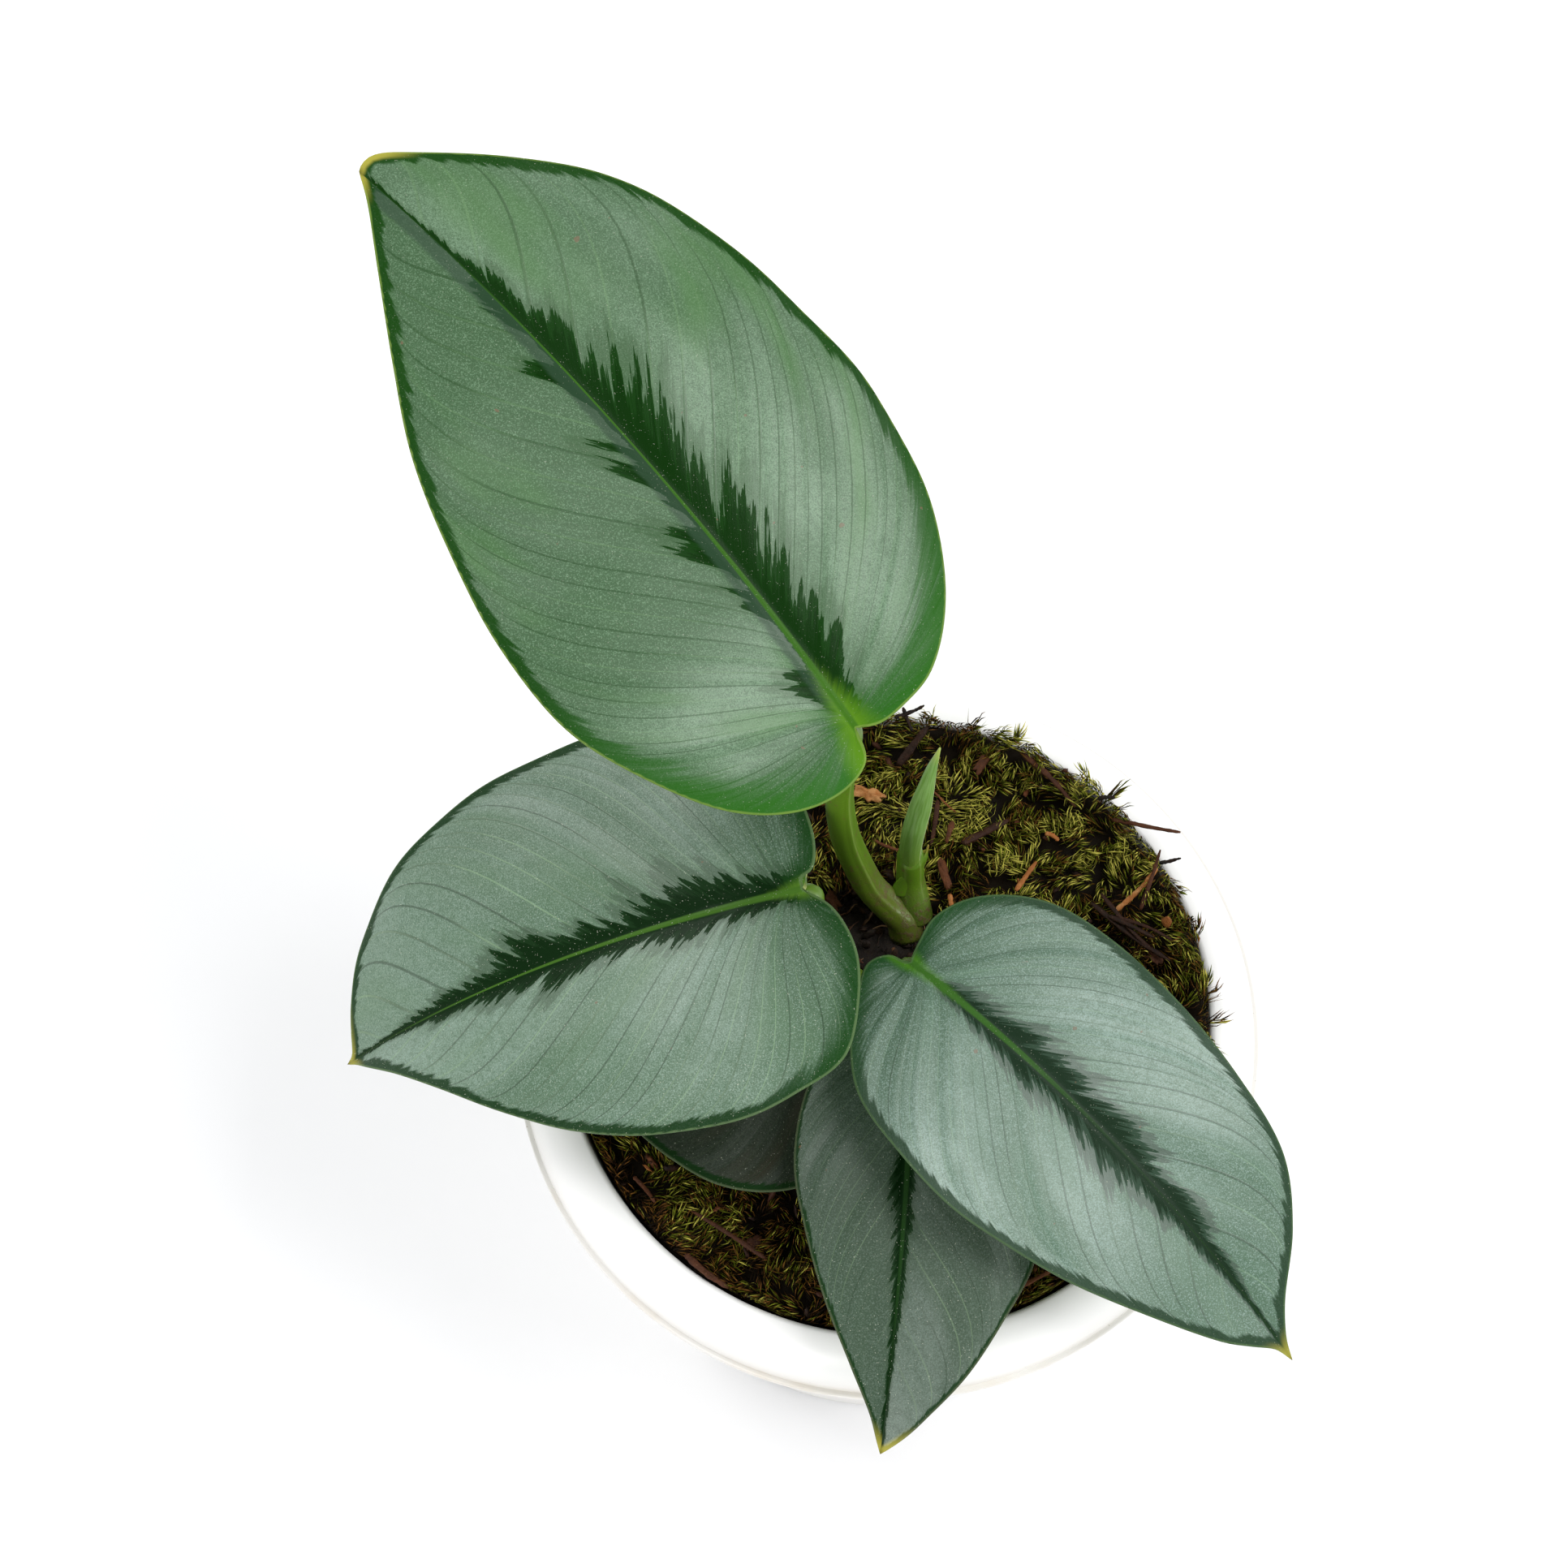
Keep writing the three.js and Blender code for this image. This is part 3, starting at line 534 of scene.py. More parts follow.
# Leaves: leathery blades on stout stalks. Each is drawn flat, in millimetres, from the junction
# with its stalk, with x along the midrib and y out to the left and right margins, then carried
# on a midrib that climbs or droops from the junction in a smooth sweep.
LEAVES = {
    "crown": {
        "stalk": [
            (3.3, 16, 91.6), (2.6, 17.6, 94.5), (-0.2, 19.1, 98), (-3, 20.2, 103),
            (-4.9, 21.3, 109), (-7.1, 22.5, 119), (-8.1, 23, 129), (-8.4, 23.9, 138),
            (-7.8, 25.5, 147),
        ],
        "radii": [
            (0, 2.9), (0.06, 2.8), (0.12, 2.6), (0.2, 2.4), (0.5, 2.3), (0.85, 2.2), (0.93, 2.1),
            (1, 1.4),
        ],
        "base": (-6, 27.6, 155),
        "heading": 128.4,
        "turn": 9.7,
        "pitch": (22, 6),
        "length": 116,
        "left": [
            (0, 0), (-4.8, 1.7), (-6.6, 6.9), (-5.2, 14.8), (0.9, 23.7), (13.8, 32), (27.6, 36.8),
            (45, 36.6), (61.1, 33), (76.2, 27.5), (89.2, 19.4), (102.1, 10.1), (111.8, 2.7),
            (116, 0),
        ],
        "right": [
            (0, 0), (-1.5, 3.5), (-1.3, 8.5), (0.4, 14.7), (9.1, 24.6), (21.4, 31.6), (38.2, 35),
            (57, 34.4), (74.9, 32.5), (89.8, 26.6), (100.8, 17.8), (110.9, 8.9), (115.5, 4.4),
            (116.4, 2.8), (116.5, 1.2), (116, 0),
        ],
    },
    "left": {
        "stalk": [
            (3.1, 6.4, 87.2), (-1.5, 3.8, 93), (-6.7, 4.7, 101), (-11.3, 5.9, 111),
            (-14.3, 7.2, 121.5),
        ],
        "radii": [(0, 3.2), (0.2, 2.8), (0.5, 2.2), (0.85, 2), (0.93, 2), (1, 1.4)],
        "base": (-14.2, 8.5, 135),
        "heading": 187,
        "turn": 3.8,
        "pitch": (-18, -53),
        "length": 96,
        "left": [
            (0, 0), (-4.7, 4.6), (-7.6, 12.4), (-6.9, 20.3), (-3.3, 28.7), (5.6, 32.8), (15, 34.7),
            (30.5, 33.4), (44.6, 28.9), (58.1, 21.8), (72, 12.9), (82.3, 6.7), (89.9, 2.8),
            (93.2, 1.1), (96, 0),
        ],
        "right": [
            (0, 0), (0, 1.7), (-2, 2.7), (-2.9, 4.9), (-3.1, 8.9), (-1.2, 16.6), (4.1, 25.8),
            (16.4, 33), (31.3, 35.2), (47.4, 34.4), (62.5, 31), (76.4, 25.1), (86.3, 16.7),
            (91, 8.4), (93.3, 2.1), (94.2, 0.8), (96, 0),
        ],
    },
    "right": {
        "stalk": [
            (3.6, -2.8, 86.8), (4.6, -2.4, 93), (6.2, -0.1, 102), (6.2, 0.2, 111), (5.1, -0.3, 118),
        ],
        "radii": [(0, 3.1), (0.2, 2.7), (0.5, 2.1), (0.85, 1.9), (0.92, 1.9), (1, 1.3)],
        "base": (2.9, -0.2, 125),
        "heading": -38.2,
        "turn": -12.6,
        "pitch": (-3, -26),
        "length": 88,
        "left": [
            (0, 0), (-0.9, 3.4), (-1.4, 8.1), (1.8, 14.9), (10, 21.4), (21.8, 23.8), (37.2, 23.3),
            (49.9, 21.8), (62.7, 19), (71.4, 12.9), (79.3, 4.8), (83.3, 1.9), (85.3, 0.9), (88, 0),
        ],
        "right": [
            (0, 0), (-0.7, 0.6), (-3.2, 1.3), (-5, 4.7), (-3.1, 9.8), (0.2, 15.9), (7.1, 22.4),
            (19.5, 25.6), (30.7, 26.2), (41.8, 24.3), (54.6, 20.4), (67.4, 14.2), (78.1, 7.6),
            (81.6, 4.4), (84.7, 1.3), (86.1, 0.6), (88, 0),
        ],
    },
    "front": {
        "stalk": [(4.2, -9, 86.8), (3.6, -9.6, 93), (2.2, -10.6, 101), (2.4, -8.6, 108)],
        "radii": [(0, 3.2), (0.25, 2.6), (0.5, 2.1), (0.8, 2), (0.9, 2.2), (1, 1.2)],
        "base": (3.5, -7, 114),
        "heading": -91.5,
        "turn": -6.5,
        "pitch": (0, -28),
        "length": 69,
        "left": [
            (0, 0), (-3, 4), (-3.6, 10), (1.9, 16), (11.7, 20.6), (24.6, 22.3), (36.6, 21.1),
            (45.9, 17), (54.8, 12.2), (61.8, 6.9), (65, 4.3), (67.2, 2.1), (69, 0),
        ],
        "right": [
            (0, 0), (-3, 4), (-1.9, 9), (5.1, 14), (14.2, 17.3), (24.3, 18), (34.3, 15.6),
            (45.3, 11.5), (55.3, 6.4), (63.1, 2.3), (66.5, 1), (69, 0),
        ],
    },
    "low": {
        "stalk": [(4.9, -15.4, 83.6), (2.3, -17, 90), (-1.5, -17.6, 98), (-3.4, -15.4, 101.6)],
        "radii": [(0, 2.9), (0.25, 2.2), (0.5, 1.8), (0.8, 1.7), (0.92, 1.9), (1, 1.2)],
        "base": (-6, -13, 105.2),
        "heading": 178,
        "turn": 4,
        "pitch": (-2, -10),
        "length": 44,
        "left": [
            (0, 0), (-3, 3.5), (-3.5, 9), (2, 16.4), (12, 19.9), (21.2, 18.7), (29.4, 13.9),
            (36, 8), (41, 3), (44, 0),
        ],
        "right": [
            (0, 0), (-3, 3.5), (-3.5, 8.5), (2, 14.5), (12, 17.8), (21, 17), (29, 13), (36, 8),
            (41, 3), (44, 0),
        ],
    },
}
FOLD = math.radians(8)
CURL = math.radians(-14) / 33
MIDRIB_STEPS = 100
CURVE_STEPS = 24


def smooth_curve(points):
    points = np.array(points, float)
    ends = np.vstack([2 * points[0] - points[1], points, 2 * points[-1] - points[-2]])
    found = []
    for i in range(1, len(ends) - 2):
        p = ends[i - 1:i + 3]
        knots = np.concatenate([[0], np.cumsum(np.linalg.norm(np.diff(p, axis=0), axis=1) ** 0.5)])
        t = np.linspace(knots[1], knots[2], CURVE_STEPS, endpoint=False)[:, None]
        a = [((knots[k + 1] - t) * p[k] + (t - knots[k]) * p[k + 1]) / (knots[k + 1] - knots[k])
             for k in range(3)]
        b = [((knots[k + 2] - t) * a[k] + (t - knots[k]) * a[k + 1]) / (knots[k + 2] - knots[k])
             for k in range(2)]
        found.append(((knots[2] - t) * b[0] + (t - knots[1]) * b[1]) / (knots[2] - knots[1]))
    return np.vstack(found + [points[-1:]])


def evenly(curve, shares):
    lengths = np.concatenate([[0], np.cumsum(np.linalg.norm(np.diff(curve, axis=0), axis=1))])
    wanted = np.asarray(shares) * lengths[-1]
    return np.stack([np.interp(wanted, lengths, curve[:, k]) for k in range(curve.shape[1])], -1)


def sweep_angles(leaf, share):
    heading = np.radians(leaf["heading"] + leaf["turn"] * share)
    pitch = np.radians(leaf["pitch"][0] + (leaf["pitch"][1] - leaf["pitch"][0]) * share)
    return heading, pitch


def blade_frame(leaf, share):
    heading, pitch = sweep_angles(leaf, share)
    along = np.stack([
        np.cos(pitch) * np.cos(heading), np.cos(pitch) * np.sin(heading), np.sin(pitch)
    ], -1)
    across = np.stack([-np.sin(heading), np.cos(heading), np.zeros_like(heading)], -1)
    return along, across, np.cross(along, across)


def on_blade(leaf, x, y):
    shares = (np.arange(MIDRIB_STEPS) + 0.5) / MIDRIB_STEPS
    along, _, _ = blade_frame(leaf, shares)
    midrib = np.vstack([leaf["base"], leaf["base"] + np.cumsum(along, 0) * leaf["length"]
                        / MIDRIB_STEPS])
    share = np.clip(x / leaf["length"], 0, 1)
    along, across, up = blade_frame(leaf, share)
    stations = np.linspace(0, 1, MIDRIB_STEPS + 1)
    place = np.stack([np.interp(share, stations, midrib[:, k]) for k in range(3)], -1)
    place += along * (x - share * leaf["length"])[..., None]
    angle = FOLD + CURL * np.abs(y)
    reach = (np.sin(angle) - math.sin(FOLD)) / CURL
    lift = (math.cos(FOLD) - np.cos(angle)) / CURL
    side = np.sign(y)
    place += across * (side * reach)[..., None] + up * lift[..., None]
    normal = up * np.cos(angle)[..., None] - across * (side * np.sin(angle))[..., None]
    return place, normal


# Stem and stalks: fleshy green, round below and grooved above, where the wings of the sheath
# run up the stalk. They stand on the stem's joints, and a stalk runs on under its midrib.
STEM_ROUTE = [
    (6, -21, 77), (5, -15, 84), (4, -8, 86.6), (3.5, 0, 86.9), (3.2, 7, 86.9), (3.2, 12, 87.2),
    (3.3, 15, 88.6),
]
STEM_RADII = [(0, 3.4), (0.3, 4.2), (0.85, 4.2), (1, 3.2)]
STEM_JOINTS = (0.2, 0.42, 0.62, 0.8)
STEM_SIDES = 40
STEM_STEPS = 110
STALK_SIDES = 36
STALK_STEPS = 90
WING_TURN = 0.62
BLADE_THICKNESS = 0.9
SEAT_GAP = 0.3
SEAT_AHEAD = 3.5
SEAT_DIP = 2
WING_PALE = (0.22, 0.32, 0.07)
SCURF_BROWN = (0.13, 0.075, 0.035)
SCAB_BROWN = (0.12, 0.07, 0.03)
SPECK_BROWN = (0.14, 0.08, 0.05)


def route_frame(curve, facing):
    along = unit(np.gradient(curve, axis=0))
    facing = np.array(facing, float)
    toward = unit(facing - along * (along @ facing)[:, None])
    return toward, np.cross(along, toward)


def rod_mesh(route, radii, facing, sides, steps, shape=None):
    shares = np.linspace(0, 1, steps + 1)
    curve = evenly(smooth_curve(route), shares)
    toward, beside = route_frame(curve, facing)
    radius = np.interp(shares, [r[0] for r in radii], [r[1] for r in radii])
    turns = 2 * np.pi * np.arange(sides) / sides
    reach = np.tile(radius[:, None], sides)
    if shape:
        reach = reach * shape(turns[None], shares[:, None])
    points, faces = rings_around(curve, toward, beside, reach)
    share_of_point = np.concatenate([[0], np.repeat(shares, sides), [1]])
    turn_of_point = np.concatenate([[0], np.tile(np.arange(sides) / sides, steps + 1), [0]])
    return points * MM, faces, share_of_point, turn_of_point


def mark_rod(piece, shares, turns):
    note(piece, "share", shares)
    note(piece, "turn", turns)


def shade(color, *factors):
    return tuple(min(1, c * f) for c, f in zip(color, factors * (3 // len(factors))))


def juicy(shader, weight, depth):
    shader.inputs["Subsurface Weight"].default_value = weight
    shader.inputs["Subsurface Radius"].default_value = (0.5, 1, 0.2)
    shader.inputs["Subsurface Scale"].default_value = depth


def green_flesh(name, young, old):
    finish, tree, shader = start_finish(name, young, 0.42, 0.5)
    place = solid_place(tree)
    share = attribute(tree, "share")
    blotches = noise(place, 160, 4, 0.6)
    grain = noise(place, 2600, 2, 0.5)
    length_wise = plus(share, scaled(blotches, 0.5, -0.25))
    colour = mixed(smooth_step(length_wise, 0.0, 0.5), old, young)
    colour = mixed(smooth_step(grain, 0.62, 0.8), colour, shade(young, 1.35))
    wing = value("ABSOLUTE", value("SUBTRACT", attribute(tree, "turn"), 0.5))
    wing = value("ABSOLUTE", value("SUBTRACT", wing, 0.5 - WING_TURN / (2 * math.pi)))
    along_wing = times(smooth_step(share, 0.1, 0.3), smooth_step(share, 0.95, 0.85))
    pale = times(smooth_step(wing, 0.018, 0.006), along_wing)
    colour = mixed(pale, colour, WING_PALE, 0.4)
    scurf = times(spots(place, 900, 0.5, 0.6, 5, 0.75),
                  smooth_step(length_wise, 0.4, 0.04))
    colour = mixed(scurf, colour, SCURF_BROWN, 0.85)
    scab = times(spots(place, 420, 0.61, 0.65, 4, 0.7), along_wing)
    colour = mixed(scab, colour, SCAB_BROWN, 0.7)
    specks = spots(place, 1900, 0.74, 0.78)
    colour = mixed(specks, colour, SPECK_BROWN, 0.6)
    juicy(shader, 0.12, 1.5 * MM)
    coat(shader, colour, plus(times(grain, 0.3), scurf), 0.1 * MM, 0.6)
    return finish


stalk_finish = green_flesh("stalk_flesh", (0.085, 0.175, 0.006), (0.1, 0.125, 0.012))
stem_finish = green_flesh("stem_flesh", (0.11, 0.14, 0.02), (0.09, 0.08, 0.02))


def stem_shape(turns, share):
    swelling = sum(np.exp(-((share - joint) / 0.012) ** 2) for joint in STEM_JOINTS)
    return 1 + 0.06 * swelling + 0.012 * np.sin(5 * turns + 9 * share)


points, faces, shares, turns = rod_mesh(
    STEM_ROUTE, STEM_RADII, (1, 0, 0), STEM_SIDES, STEM_STEPS, stem_shape
)
stem = link_mesh("creeping_stem", points, faces)
mark_rod(stem, shares, turns)
stem.data.materials.append(stem_finish)
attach(stem, "root")
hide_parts("main_stem")


def stalk_shape(turns, share):
    groove = -0.2 * np.exp(-(np.minimum(turns, 2 * np.pi - turns) / 0.36) ** 2)
    wings = sum(0.16 * np.exp(-((turns - w) / 0.16) ** 2) for w in (WING_TURN, 2 * np.pi - WING_TURN))
    fade = np.clip((share - 0.04) / 0.1, 0, 1) * np.clip((0.94 - share) / 0.08, 0, 1)
    return 1 + fade * (groove + wings)


STALK_FACES = {
    "crown": (0.9, -0.2, 0.3),
    "left": (0.2, 0.9, 0.2),
    "right": (-0.8, 0.4, 0.2),
    "front": (0.3, 0.9, 0.1),
    "low": (0.6, 0.8, 0.1),
}
for name, leaf in LEAVES.items():
    end_radius = leaf["radii"][-1][1]
    drop = BLADE_THICKNESS / 2 + SEAT_GAP + end_radius
    place, normal = on_blade(leaf, np.array([0, SEAT_AHEAD]), np.zeros(2))
    seats = place - normal * np.array([[drop + SEAT_DIP], [drop]])
    route = leaf["stalk"] + [tuple(seat) for seat in seats]
    points, faces, shares, turns = rod_mesh(
        route, leaf["radii"], STALK_FACES[name], STALK_SIDES, STALK_STEPS, stalk_shape
    )
    stalk = link_mesh("stalk_" + name, points, faces)
    mark_rod(stalk, shares, turns)
    stalk.data.materials.append(stalk_finish)
    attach(stalk, "root")
    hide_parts("petiole_" + name)

# New shoot: a short stalk in a sheath whose pointed bract stands off to the right, and out of it
# the next leaf, still rolled up along its length into a slender spear.
SHEATH_ROUTE = [
    (4.8, 18.4, 93.6), (4.4, 20.3, 96.8), (3.8, 22.4, 100.5), (3.7, 23.3, 104), (3.6, 24.2, 109),
]
SHEATH_RADII = [(0, 2.9), (0.3, 2.55), (0.6, 2.3), (0.9, 2.25), (1, 1.95)]
MOUTH_SLANT = 1.9
ROLLED_ROUTE = [
    (3.7, 23.5, 105), (3.6, 24.4, 111), (4, 25.5, 116), (4.8, 27.1, 121), (5.6, 28.3, 127),
    (6.4, 29.5, 133), (7.5, 30.6, 139),
]
ROLLED_RADII = [(0, 1.5), (0.2, 1.75), (0.35, 1.8), (0.5, 1.7), (0.67, 1.25), (0.83, 0.8), (1, 0.15)]
BRACT_ROUTE = [
    (4.4, 21.2, 99), (4.5, 22.3, 101.5), (4.9, 23.2, 104), (5.7, 24.4, 106.6), (6.6, 25.5, 108.6),
]
BRACT_FACE = (0.9, -0.35, 0.2)
BRACT_RADIUS = 2.75
BRACT_THICKNESS = 0.3
BRACT_TIP = (0.3, 0.2, 0.03)
BRACT_ROWS = 26
BRACT_COLUMNS = 18
YOUNG_GREEN = (0.12, 0.25, 0.04)
YOUNG_PALE = (0.2, 0.35, 0.1)
YOUNG_FOOT = (0.13, 0.25, 0.025)
LAP_EDGE = (0.5, 0.6, 0.3)
SPEAR_TIP = (0.38, 0.46, 0.1)
CREAM = (0.65, 0.62, 0.42)


def bract_mesh():
    share = np.linspace(0, 1, BRACT_ROWS)
    curve = evenly(smooth_curve(BRACT_ROUTE), share)
    out, beside = route_frame(curve, BRACT_FACE)
    spread = np.radians(np.interp(share, [0, 0.35, 0.7, 1], [118, 100, 62, 16]))
    radius = np.interp(share, [0, 0.4, 0.75, 1], [BRACT_RADIUS, 2.6, 1.7, 0.25])
    centre = curve - out * np.interp(share, [0, 0.4, 1], [2.2, 1.6, 0.2])[:, None]
    turns = np.linspace(-1, 1, BRACT_COLUMNS)
    layers = []
    for inset in (0, BRACT_THICKNESS):
        inner = np.maximum(radius - inset, 0.05)
        angle = spread[:, None] * turns
        layers.append(centre[:, None] + out[:, None] * (inner[:, None] * np.cos(angle))[..., None]
                      + beside[:, None] * (inner[:, None] * np.sin(angle))[..., None])
    ring = np.concatenate([layers[0], layers[1][:, ::-1]], 1)
    count = ring.shape[1]
    low_end = tuple(range(count))
    faces = [low_end[::-1], tuple((BRACT_ROWS - 1) * count + corner for corner in low_end)]
    faces += ring_faces(BRACT_ROWS, count)
    shares = np.repeat(share, count)
    return ring.reshape(-1, 3), faces, shares


sheath_points, sheath_faces, sheath_shares, sheath_turns = rod_mesh(
    SHEATH_ROUTE, SHEATH_RADII, (0.2, -0.9, 0.3), 40, 60
)
slant = np.clip((sheath_shares - 0.7) / 0.3, 0, 1) ** 2 * np.cos(2 * np.pi * sheath_turns)
sheath_points[1:-1, 2] -= MOUTH_SLANT * MM * slant[1:-1]
bract_points, bract_faces, bract_shares = bract_mesh()
points, faces = together([(sheath_points, sheath_faces), (bract_points * MM, bract_faces)])
sheath = link_mesh("shoot_sheath_bract", points, faces)
mark_rod(sheath, np.concatenate([0.6 * sheath_shares, 0.5 + 0.5 * bract_shares]),
         np.concatenate([sheath_turns, np.full(len(bract_shares), 0.5)]))
sheath_finish = green_flesh("sheath_flesh", (0.09, 0.19, 0.007), (0.08, 0.125, 0.01))
tree = sheath_finish.node_tree
shader = tree.nodes["Principled BSDF"]
green = shader.inputs["Base Color"].links[0].from_socket
near_tip = smooth_step(attribute(tree, "share"), 0.9, 1.0)
feed(mixed(near_tip, green, BRACT_TIP), shader.inputs["Base Color"])
sheath.data.materials.append(sheath_finish)
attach(sheath, "root")
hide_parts("shoot_sheath")


def rolled_shape(turns, share):
    lap = 1 + 0.13 * turns / (2 * np.pi)
    return lap * (1 + 0.05 * np.cos(2 * (turns - 1)) * (1 - share))


points, faces, shares, turns = rod_mesh(
    ROLLED_ROUTE, ROLLED_RADII, (0.95, -0.3, 0.1), 48, 100, rolled_shape
)
spear = link_mesh("rolled_young_leaf", points, faces)
mark_rod(spear, shares, turns)
spear_finish, tree, shader = start_finish("young_leaf_back", (0.17, 0.3, 0.09), 0.4, 0.5)
place = solid_place(tree)
share = attribute(tree, "share")
turn = attribute(tree, "turn")
grain = noise(place, 2400, 2, 0.6)
rib_place = tree.nodes.new("ShaderNodeCombineXYZ")
feed(turn, rib_place.inputs[0])
feed(share, rib_place.inputs[1])
ribs = noise(stretched(rib_place.outputs[0], (26, 5, 1)), 1, 2, 0.6)
colour = mixed(smooth_step(ribs, 0.35, 0.65), YOUNG_GREEN, YOUNG_PALE)
colour = mixed(smooth_step(share, 0.45, 0.0), colour, YOUNG_FOOT)
lap_edge = value("MAXIMUM", smooth_step(turn, 0.94, 0.985), smooth_step(turn, 0.02, 0.0))
colour = mixed(lap_edge, colour, LAP_EDGE, 0.8)
colour = mixed(smooth_step(share, 0.86, 1.0), colour, SPEAR_TIP)
cream = spots(place, 1500, 0.75, 0.79)
colour = mixed(cream, colour, CREAM, 0.7)
juicy(shader, 0.15, 1 * MM)
coat(shader, colour, plus(ribs, times(grain, 0.3)), 0.1 * MM, 0.5)
spear.data.materials.append(spear_finish)
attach(spear, "root")
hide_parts("rolled_leaf")

# Blades: thick and leathery, silver between the side veins, dark green in ragged tongues along
# the midrib and the margin. The veins leave the midrib at a slant and sweep on towards the
# tip; every row of points follows one, from midrib to margin.
VEINS = 32
ROWS_PER_VEIN = 5
ROW_STEPS = 22
VEIN_START_POWER = 4.4
VEIN_LEAVING = np.array([
    (0, 150), (0.06, 125), (0.12, 104), (0.2, 80), (0.35, 56), (0.6, 36), (0.8, 26), (1, 16),
])
VEIN_ARRIVING = np.array([(0, 62), (0.08, 38), (0.2, 26), (0.5, 16), (1, 10)])
LEAVING_REACH = 0.3
ARRIVING_REACH = 0.4
EDGE_THICKNESS = 0.5
TIP_YELLOW = (0.36, 0.33, 0.05)
DUST = (0.5, 0.52, 0.42)
BLEMISH_BROWN = (0.14, 0.09, 0.05)
BACK_PALE = (0.115, 0.2, 0.085)
BACK_DEEP = (0.075, 0.145, 0.05)
BACK_GRAIN = (0.15, 0.24, 0.11)
BACK_VEIN = (0.06, 0.12, 0.04)
BACK_RIB = (0.16, 0.25, 0.06)
BACK_HEM = (0.32, 0.36, 0.12)


def vein_rows(leaf, rows):
    shares = np.arange(1, rows) / rows
    t = 0.5 - 0.5 * np.cos(np.pi * np.arange(ROW_STEPS + 1) / ROW_STEPS)
    leaving = np.radians(np.interp(shares, VEIN_LEAVING[:, 0], VEIN_LEAVING[:, 1]))
    arriving = np.radians(np.interp(shares, VEIN_ARRIVING[:, 0], VEIN_ARRIVING[:, 1]))
    starts = leaf["length"] * (0.03 * shares + 0.97 * shares ** VEIN_START_POWER)
    grid = {}
    for side, sign in (("left", 1), ("right", -1)):
        margin = smooth_curve(leaf[side])
        ends = evenly(margin, shares)
        edge = evenly(margin, shares + 0.004) - evenly(margin, shares - 0.004)
        edge /= np.linalg.norm(edge, axis=1)[:, None]
        inward = np.stack([
            edge[:, 0] * np.cos(arriving) - edge[:, 1] * np.sin(arriving),
            edge[:, 0] * np.sin(arriving) + edge[:, 1] * np.cos(arriving),
        ], 1)
        begin = np.stack([starts, 0 * starts], 1)
        chord = np.linalg.norm(ends - begin, axis=1)[:, None]
        first = begin + LEAVING_REACH * chord * np.stack([np.cos(leaving), np.sin(leaving)], 1)
        last = ends - ARRIVING_REACH * chord * inward
        weights = ((1 - t) ** 3, 3 * t * (1 - t) ** 2, 3 * t ** 2 * (1 - t), t ** 3)
        line = sum(
            w[None, :, None] * p[:, None] for w, p in zip(weights, (begin, first, last, ends))
        )
        gap = np.full(line.shape[:2], np.inf)
        for near in margin:
            gap = np.minimum(gap, np.linalg.norm(line - near, axis=2))
        run = np.linalg.norm(np.diff(line, axis=1), axis=2).cumsum(1)
        grid[side] = {
            "x": line[..., 0],
            "y": sign * line[..., 1],
            "gap": gap,
            "run": np.concatenate([np.zeros((rows - 1, 1)), run], 1),
            "start": np.repeat(starts[:, None], ROW_STEPS + 1, 1),
            "phase": np.repeat((shares * VEINS)[:, None], ROW_STEPS + 1, 1),
        }
    return {
        key: np.concatenate([grid["left"][key][:, :0:-1], grid["right"][key]], 1)
        for key in grid["left"]
    }


def inside_out(faces):
    return [face[:1] + face[:0:-1] for face in faces]


